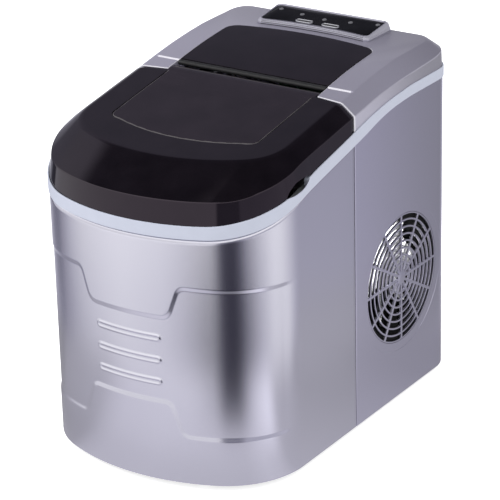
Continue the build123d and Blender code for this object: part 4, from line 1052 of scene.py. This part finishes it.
loops = []
for hf, hr, y0, y1, r0, r1, zfr, zbk in ((60.4, 62.8, 127.9, 166.2, 5.5, 6.0, 319.9, 319.9), (60.3, 62.6, 128.0, 166.15, 5.5, 6.0, 320.7, 320.9),
                                         (59.9, 62.3, 128.55, 166.1, 5.3, 6.0, 320.95, 321.4), (59.8, 62.1, 128.6, 166.05, 5.3, 5.8, 321.3, 321.9),
                                         (60.1, 61.9, 128.2, 166.0, 5.3, 5.8, 321.55, 322.5), (60.1, 61.7, 128.15, 165.95, 5.2, 5.6, 322.1, 323.1),
                                         (59.6, 61.5, 128.8, 165.9, 5.0, 5.6, 322.35, 323.6), (59.5, 61.3, 128.9, 165.85, 5.0, 5.4, 322.75, 324.2),
                                         (59.7, 61.0, 128.5, 165.8, 4.9, 5.4, 323.0, 324.9), (59.5, 60.7, 128.6, 165.7, 4.8, 5.2, 323.6, 325.7),
                                         (59.1, 60.3, 129.25, 165.5, 4.6, 5.0, 323.85, 326.6), (58.9, 60.0, 129.5, 165.2, 4.5, 4.8, 324.15, 328.0),
                                         (58.7, 59.5, 130.0, 164.5, 4.4, 4.6, 324.6, 328.9), (58.3, 58.9, 130.9, 163.6, 4.2, 4.4, 325.05, 329.45)):
    q = con_loop(hf, hr, y0, y1, r0, r1, 430.0)
    loops.append(np.column_stack([q, zfr + (zbk - zfr) * np.clip((q[:, 1] - y0) / (y1 - y0), -0.1, 1)]))
for hf, hr, y0, y1, r, d in ((57.9, 58.3, 131.7, 162.3, 4.0, 0.06), (57.4, 57.6, 132.2, 161.7, 3.8, 0.1), (57.2, 57.35, 132.4, 161.4, 3.7, -0.05),
                             (57.15, 57.3, 132.45, 161.35, 3.6, -0.3), (57.15, 57.3, 132.45, 161.35, 3.6, -1.7), (49.0, 49.0, 133.8, 157.3, 2.0, -1.7)):
    q = con_loop(hf, hr, y0, y1, r, r, 390.0)
    loops.append(np.column_stack([q, plane_z(q[:, 1], d) + (0.7 * smooth(154.0, 160.5, q[:, 1]) if d > 0 else 0.0)]))
q = con_loop(49.0, 49.0, 133.8, 157.3, 2.0, 2.0, 390.0)
loops.append(np.column_stack([q, np.full(len(q), 319.9)]))
L = np.stack(loops)                       # loops x points x 3
sec = [L[i] for i in range(len(loops))]
CON_PTS = len(L[0])


def console_strip(i, j):
    """Painted light by place: painted shade in the recesses and painted highlight on the ridges along the front,
    painted highlight on the upper part of both ends.
    """
    front_side = 13 <= i <= CON_PTS - 15
    if front_side:
        return 1 if j in (1, 2, 3, 6, 7, 10) else (2 if j in (4, 5, 8, 9, 12) else 0)
    at_end = i < 13 or i > CON_PTS - 15
    return 2 if at_end and 4 <= j <= 13 else 0


weighted(swept("console_shell", sec, [M["console_silver"], M["console_painted_recess_shade"], M["console_painted_ridge_highlight"]], "cabinet", ("console_housing",), loop=True,
               sharp=40, strip_mats=console_strip))

FP = Matrix.Rotation(TILT, 4, "X")


def on_face(v):
    """Face coordinates (x, along the face, outward) to the object's frame."""
    v = np.asarray(v, float)
    c, s = math.cos(TILT), math.sin(TILT)
    return np.column_stack([v[:, 0], F_Y + v[:, 1] * c - v[:, 2] * s, F_Z + v[:, 1] * s + v[:, 2] * c])


BTN_L, BTN_W, BTN_V, BTN_X = 18.0, 5.8, 5.7, (-14.4, 13.6)
LEDS = [(-50.2, 23.2), (-24.7, 18.8), (1.0, 16.0), (27.0, 18.9), (53.2, 23.6)]


def stadium(cx, cy, l, w, k=14):
    r = w / 2
    p = []
    for sx, a0 in ((1, -PI / 2), (-1, PI / 2)):
        for i in range(k):
            a = a0 + PI * i / (k - 1)
            p.append((cx + sx * (l / 2 - r) + r * math.cos(a), cy + r * math.sin(a)))
    return np.array(p)


def stack(loop_list):
    """Closed solid from a list of loops, (m, 3) each, capped at both ends."""
    m = len(loop_list[0])
    v = np.vstack(loop_list)
    f = []
    for i in range(len(loop_list) - 1):
        for j in range(m):
            k = (j + 1) % m
            f.append((i * m + j, i * m + k, (i + 1) * m + k, (i + 1) * m + j))
    f.append(tuple(range(m - 1, -1, -1)))
    f.append(tuple(range((len(loop_list) - 1) * m, len(loop_list) * m)))
    return v, f


def flat_loop(p, d):
    return on_face(np.column_stack([p, np.full(len(p), d)]))


def plate_loop(inset, d):
    q = con_loop(57.0 - inset, 57.1 - inset, 1.9 + inset, 30.6 - inset, 3.5 - inset * 0.8, 3.5 - inset * 0.8, 390.0)
    return flat_loop(q, d)


pv, pf = stack([plate_loop(0, -1.5), plate_loop(0, -0.42), plate_loop(0.1, -0.26), plate_loop(0.35, -0.18)])
plate = mesh_object("console_face", pv, pf, M["black_gloss"], "cabinet", ("console_faceplate",), 40)
tools = []
for bx in BTN_X:
    tools.append(stack([flat_loop(stadium(bx, BTN_V, BTN_L + 0.7, BTN_W + 0.7), d) for d in (-4, 3)]))
for x, v in LEDS:
    c = np.array([(x + 2.45 * math.cos(2 * PI * i / 32), v + 2.45 * math.sin(2 * PI * i / 32)) for i in range(32)])
    tools.append(stack([flat_loop(c, d) for d in (-4, 3)]))
cut(plate, tools, 40)

for nm, bx in (("power_button", BTN_X[0]), ("select_button", BTN_X[1])):
    lp = []
    for ins, d in ((-0.6, -3.2), (-0.6, -2.0), (0.0, -2.0), (0.0, 0.35), (0.12, 0.55), (0.35, 0.66), (0.75, 0.66), (0.95, 0.5), (1.05, 0.2),
                   (1.25, 0.2), (1.5, 0.42), (2.0, 0.55), (2.6, 0.6)):
        lp.append(flat_loop(stadium(bx, BTN_V, BTN_L - 2 * ins, BTN_W - 2 * ins), d))
    bv, bf = stack(lp)
    m = len(lp[0])
    fm = [1 if i // m >= 8 and i < m * (len(lp) - 1) else 0 for i in range(m * (len(lp) - 1))] + [0, 1]
    mesh_object(nm + "_cap", bv, bf, [M["button_silver"], M["button_dark"]], nm, (nm,), 40, fm)

lv, lf = [], []
for x, v in LEDS:
    lp = []
    for r, d in ((2.2, -1.4), (2.2, -0.12), (2.12, 0.03), (1.9, 0.15), (1.45, 0.26), (0.8, 0.33), (0.1, 0.35)):
        c = np.array([(x + r * math.cos(2 * PI * i / 32), v + r * math.sin(2 * PI * i / 32)) for i in range(32)])
        lp.append(flat_loop(c, d))
    a, b = stack(lp)
    lf += [tuple(i + len(lv) for i in q) for q in b]
    lv += [tuple(p) for p in a]
mesh_object("indicator_domes", lv, lf, M["lens"], "cabinet", ("indicator_lenses",), 40)

# =====================================================================================
# floor, light and camera
# =====================================================================================
sc = bpy.context.scene


def plain(name, base, rough=0.9):
    m = bpy.data.materials.new(name)
    m.use_nodes = True
    b = m.node_tree.nodes["Principled BSDF"]
    b.inputs["Base Color"].default_value = (*base, 1)
    b.inputs["Roughness"].default_value = rough
    b.inputs["Specular IOR Level"].default_value = 0.0
    return m


fme = bpy.data.meshes.new("floor")
S = 12.0
fme.from_pydata([(-S, -S, 0), (S, -S, 0), (S, S, 0), (-S, S, 0)], [], [(0, 1, 2, 3)])
floor = bpy.data.objects.new("floor", fme)
floor_mat = plain("floor_white", (0.97, 0.97, 0.975))
floor_mat.node_tree.nodes["Principled BSDF"].inputs["Emission Color"].default_value = (1, 1, 1, 1)
floor_mat.node_tree.nodes["Principled BSDF"].inputs["Emission Strength"].default_value = 0.72
fme.materials.append(floor_mat)
sc.collection.objects.link(floor)
floor.visible_glossy = floor.visible_diffuse = False

# bright table top round the object, which only reflections see
rf = mirrored(right_front(list(np.linspace(140, -80, 30)), 30, 30))
rb = mirrored(right_rear([], 16, 12))
ring_path = np.vstack([rf, rb[::-1]])
steps = [-6, 20, 45, 80, 115, 145, 170, 200, 235, 275, 310]
tv = np.vstack([pts(ring_path, d, 0.4) for d in steps]) * 0.001
phi = np.degrees(np.arctan2(ring_path[:, 2], -ring_path[:, 3]))
level = np.interp(phi, [-180, -90, -36, -18, 0, 20, 48, 66, 78, 89.5, 90.5, 180], [0.45, 0.45, 0.62, 0.88, 0.92, 0.88, 0.86, 0.97, 0.92, 0.77, 0.49, 0.40])
level = np.where(np.abs(phi - 90) < 1, np.interp(ring_path[:, 1], [-88, 0, 80, 150], [0.76, 0.66, 0.57, 0.46]), level)
wedge = 1 - smooth(4, 31, np.abs(phi - 37))
far = 0.30 * np.exp(-((phi - 78) / 9) ** 2) + 0.32 * smooth(90, 93, phi) + 0.30 * (np.abs(phi - 90) < 1) * smooth(40, 150, ring_path[:, 1])
glow_level, glow_fade = [], []
for d in steps:
    glow_level.append(level * (0.84 + 0.16 * smooth(20, 120, d) * (1 - smooth(78, 90, np.abs(phi))) - 0.02 * smooth(60, 160, d) * smooth(78, 90, phi) + far * smooth(40, 140, d)))
    glow_fade.append((1 - smooth(170, 275, d)) * (1 - wedge * (0.93 * smooth(65, 190, d) + 0.07 * smooth(190, 260, d))))
m = len(ring_path)
tf = []
for i in range(len(steps) - 1):
    for j in range(m):
        k = (j + 1) % m
        tf.append((i * m + j, i * m + k, (i + 1) * m + k, (i + 1) * m + j))
tme = bpy.data.meshes.new("table_glow")
tme.from_pydata(tv.tolist(), [], tf)
at = tme.attributes.new("fade", "FLOAT", "POINT")
at.data.foreach_set("value", np.concatenate(glow_fade).astype(np.float32))
at = tme.attributes.new("level", "FLOAT", "POINT")
at.data.foreach_set("value", np.concatenate(glow_level).astype(np.float32))
glow = bpy.data.objects.new("table_glow", tme)
sc.collection.objects.link(glow)
gm = bpy.data.materials.new("table_glow")
gm.use_nodes = True
nt = gm.node_tree
nt.nodes.clear()
o_ = nt.nodes.new("ShaderNodeOutputMaterial")
mx = nt.nodes.new("ShaderNodeMixShader")
em = nt.nodes.new("ShaderNodeEmission")
em.inputs["Color"].default_value = (0.985, 0.975, 1.06, 1)
lv_ = nt.nodes.new("ShaderNodeAttribute")
lv_.attribute_name = "level"
nt.links.new(lv_.outputs["Fac"], em.inputs["Strength"])
tr = nt.nodes.new("ShaderNodeBsdfTransparent")
fa = nt.nodes.new("ShaderNodeAttribute")
fa.attribute_name = "fade"
nt.links.new(fa.outputs["Fac"], mx.inputs[0])
nt.links.new(tr.outputs[0], mx.inputs[1])
nt.links.new(em.outputs[0], mx.inputs[2])
nt.links.new(mx.outputs[0], o_.inputs[0])
tme.materials.append(gm)
glow.visible_camera = glow.visible_diffuse = glow.visible_shadow = glow.visible_transmission = False

# studio surround: even white light for the matt surfaces, a patterned surround for reflections
w = bpy.data.worlds.new("studio")
sc.world = w
w.use_nodes = True
nt = w.node_tree
nt.nodes.clear()
wo = nt.nodes.new("ShaderNodeOutputWorld")
tc = nt.nodes.new("ShaderNodeTexCoord")
sp = nt.nodes.new("ShaderNodeSeparateXYZ")
nt.links.new(tc.outputs["Generated"], sp.inputs[0])


def math_node(op, a, b=None, c=None):
    nd = nt.nodes.new("ShaderNodeMath")
    nd.operation = op
    for i, v in enumerate((a, b, c)):
        if v is None:
            continue
        if isinstance(v, (int, float)):
            nd.inputs[i].default_value = v
        else:
            nt.links.new(v, nd.inputs[i])
    return nd.outputs[0]


def ramp_node(fac, stops, tint=False):
    nd = nt.nodes.new("ShaderNodeValToRGB")
    cr = nd.color_ramp
    cr.interpolation = "LINEAR"
    while len(cr.elements) < len(stops):
        cr.elements.new(0.5)
    for e, (p, v) in zip(cr.elements, stops):
        e.position = p
    for e, (p, v) in zip(cr.elements, stops):
        dim = max(0.0, 1 - v / 1.1)
        deep = max(0.0, 1 - v / 0.12)
        e.color = (v, v * (1 - 0.02 * dim - 0.03 * deep), v * (1 + 0.30 * dim + 0.3 * deep), 1) if tint else (v, v, v, 1)
    nt.links.new(fac, nd.inputs["Fac"])
    return nd.outputs["Color"]


az = math_node("ARCTAN2", sp.outputs["X"], math_node("MULTIPLY", sp.outputs["Y"], -1.0))
az01 = math_node("MULTIPLY_ADD", az, 1 / (2 * PI), 0.5)
el = math_node("ARCSINE", sp.outputs["Z"])
el01 = math_node("MULTIPLY_ADD", el, 1 / PI, 0.5)


def deg(a):
    return (a + 180) / 360


def band_of(stops):
    return ramp_node(az01, [(deg(a), v) for a, v in stops], True)


# surround by azimuth, from below the horizon to overhead
LOW = band_of([(-180, 0.9), (-134, 0.9), (-122, 0.50), (-94, 0.34), (-82, 0.40), (-58, 0.74), (-40, 0.90), (-14, 0.72), (-3, 0.46), (10, 0.09), (22, 0.04),
               (38, 0.03), (48, 0.02), (57, 0.04), (67, 0.15), (81, 0.46), (98, 0.90), (112, 0.94), (127, 0.76), (141, 0.58), (154, 0.50), (180, 0.40)])
L0 = band_of([(-180, 0.9), (-134, 0.9), (-122, 0.50), (-110, 0.26), (-96, 0.16), (-85, 0.30), (-77, 0.84), (-66, 1.24), (-46, 1.42), (-34, 1.48), (-10, 1.47),
              (8, 1.46), (18.5, 1.06), (28.5, 0.15), (34, 0.045), (45, 0.035), (52.5, 0.22), (62.5, 0.82), (78, 1.29), (98, 1.43), (110, 1.31), (123, 0.92),
              (137, 0.50), (180, 0.39)])
L1 = band_of([(-180, 0.9), (-146, 0.85), (-132, 0.46), (-120, 0.40), (-114, 0.38), (-111, 0.10), (-99, 0.10), (-96, 0.75), (-76, 0.98), (-50, 1.02), (22, 0.98), (24.5, 0.24),
              (49.5, 0.24), (52, 0.52), (80, 0.58), (108, 0.68), (124, 0.62), (140, 0.42), (180, 0.40)])
L2 = band_of([(-180, 1.25), (-140, 1.25), (-127, 0.55), (-114, 0.36), (-96, 0.55), (-76, 1.1), (100, 1.1), (122, 1.2), (180, 1.25)])
L3 = band_of([(-180, 0.16), (-150, 0.11), (-140, 0.18), (-128, 0.24), (-108, 0.35), (-84, 1.3), (90, 1.3), (112, 0.6), (132, 0.20), (180, 0.16)])
L4 = band_of([(-180, 0.04), (-95, 0.04), (-78, 1.6), (14, 1.6), (22, 0.03), (56, 0.03), (64, 1.2), (84, 1.0), (100, 0.04), (180, 0.04)])
L5 = band_of([(-180, 0.03), (180, 0.03)])


def by_el(a, b, c, d):
    """Blend to b above elevation d, from a below elevation c."""
    f = ramp_node(el01, [(0.0, 0.0), (0.5 + c / 180, 0.0), (0.5 + d / 180, 1.0), (1.0, 1.0)])
    nd = nt.nodes.new("ShaderNodeMix")
    nd.data_type = "RGBA"
    nt.links.new(f, nd.inputs[0])
    nt.links.new(a, nd.inputs[6])
    nt.links.new(b, nd.inputs[7])
    return nd.outputs[2]


surround = by_el(by_el(by_el(by_el(by_el(by_el(LOW, L0, -23.7, -21.5), L1, -19.0, -16.0), L2, 5.0, 9.0), L3, 13.0, 18.0), L4, 42.5, 46.0), L5, 71.0, 77.0)
bg_g = nt.nodes.new("ShaderNodeBackground")
nt.links.new(surround, bg_g.inputs["Color"])
bg_d = nt.nodes.new("ShaderNodeBackground")
bg_d.inputs["Color"].default_value = (1.0, 1.0, 1.0, 1)
bg_d.inputs["Strength"].default_value = 1.0
lp_ = nt.nodes.new("ShaderNodeLightPath")
mxs = nt.nodes.new("ShaderNodeMixShader")
nt.links.new(lp_.outputs["Is Glossy Ray"], mxs.inputs[0])
nt.links.new(bg_d.outputs[0], mxs.inputs[1])
nt.links.new(bg_g.outputs[0], mxs.inputs[2])
nt.links.new(mxs.outputs[0], wo.inputs[0])


def area(name, loc, target, size, power, glossy=False):
    ld = bpy.data.lights.new(name, "AREA")
    ld.shape = "DISK"
    ld.size = size
    ld.energy = power
    ob = bpy.data.objects.new(name, ld)
    sc.collection.objects.link(ob)
    ob.location = loc
    d = Vector(target) - Vector(loc)
    ob.rotation_euler = d.to_track_quat("-Z", "Y").to_euler()
    ob.visible_glossy = glossy
    ob.visible_camera = False
    return ob


# soft key from above the front
area("key", (-1.0, -0.9, 1.5), (0, 0, 0.1), 1.4, 9)

# narrow light through the grille, on the fan
sd = bpy.data.lights.new("fan_light", "SPOT")
sd.energy = 190
sd.spot_size = math.radians(7.2)
sd.spot_blend = 0.15
sd.shadow_soft_size = 0.02
so = bpy.data.objects.new("fan_light", sd)
sc.collection.objects.link(so)
so.location = (0.64, -0.68, 0.50)
so.rotation_euler = (Vector((0.12, 0.0804, 0.1214)) - Vector(so.location)).to_track_quat("-Z", "Y").to_euler()
so.visible_glossy = False
so.visible_camera = False

# grey card beside the rear of the right-hand wall, seen only in reflections
cme = bpy.data.meshes.new("side_card")
cv, ca = [], []
for y, a in ((0.0, 0.0), (0.09, 0.0), (0.16, 0.35), (0.26, 0.8), (0.5, 0.9)):
    cv += [(0.185, y, 0.0), (0.185, y, 0.42)]
    ca += [a, a]
cme.from_pydata(cv, [], [(2 * i, 2 * i + 2, 2 * i + 3, 2 * i + 1) for i in range(4)])
cme.attributes.new("fade", "FLOAT", "POINT").data.foreach_set("value", np.array(ca, np.float32))
card = bpy.data.objects.new("side_card", cme)
sc.collection.objects.link(card)
cm = bpy.data.materials.new("side_card")
cm.use_nodes = True
ct = cm.node_tree
ct.nodes.clear()
co = ct.nodes.new("ShaderNodeOutputMaterial")
cx_ = ct.nodes.new("ShaderNodeMixShader")
ce = ct.nodes.new("ShaderNodeEmission")
ce.inputs["Color"].default_value = (0.27, 0.27, 0.28, 1)
ctr = ct.nodes.new("ShaderNodeBsdfTransparent")
cf = ct.nodes.new("ShaderNodeAttribute")
cf.attribute_name = "fade"
ct.links.new(cf.outputs["Fac"], cx_.inputs[0])
ct.links.new(ctr.outputs[0], cx_.inputs[1])
ct.links.new(ce.outputs[0], cx_.inputs[2])
ct.links.new(cx_.outputs[0], co.inputs[0])
cme.materials.append(cm)
card.visible_camera = card.visible_diffuse = card.visible_shadow = card.visible_transmission = False

cam_d = bpy.data.cameras.new("camera")
cam = bpy.data.objects.new("camera", cam_d)
sc.collection.objects.link(cam)
azr, elr, rol = math.radians(33.9585), math.radians(22.6507), math.radians(-1.4728)
back = Vector((math.sin(azr) * math.cos(elr), -math.cos(azr) * math.cos(elr), math.sin(elr)))
fwd = -back
right = fwd.cross(Vector((0, 0, 1))).normalized()
upv = right.cross(fwd).normalized()
R = math.cos(rol) * right + math.sin(rol) * upv
U = -math.sin(rol) * right + math.cos(rol) * upv
cam.matrix_world = Matrix(((R.x, U.x, back.x, 1.15152), (R.y, U.y, back.y, -1.69311), (R.z, U.z, back.z, 1.00612), (0, 0, 0, 1)))
cam_d.sensor_width = 36.0
cam_d.lens = 178.57
cam_d.clip_start, cam_d.clip_end = 0.05, 60.0
sc.camera = cam

sc.view_settings.view_transform = "Standard"
sc.view_settings.look = "None"
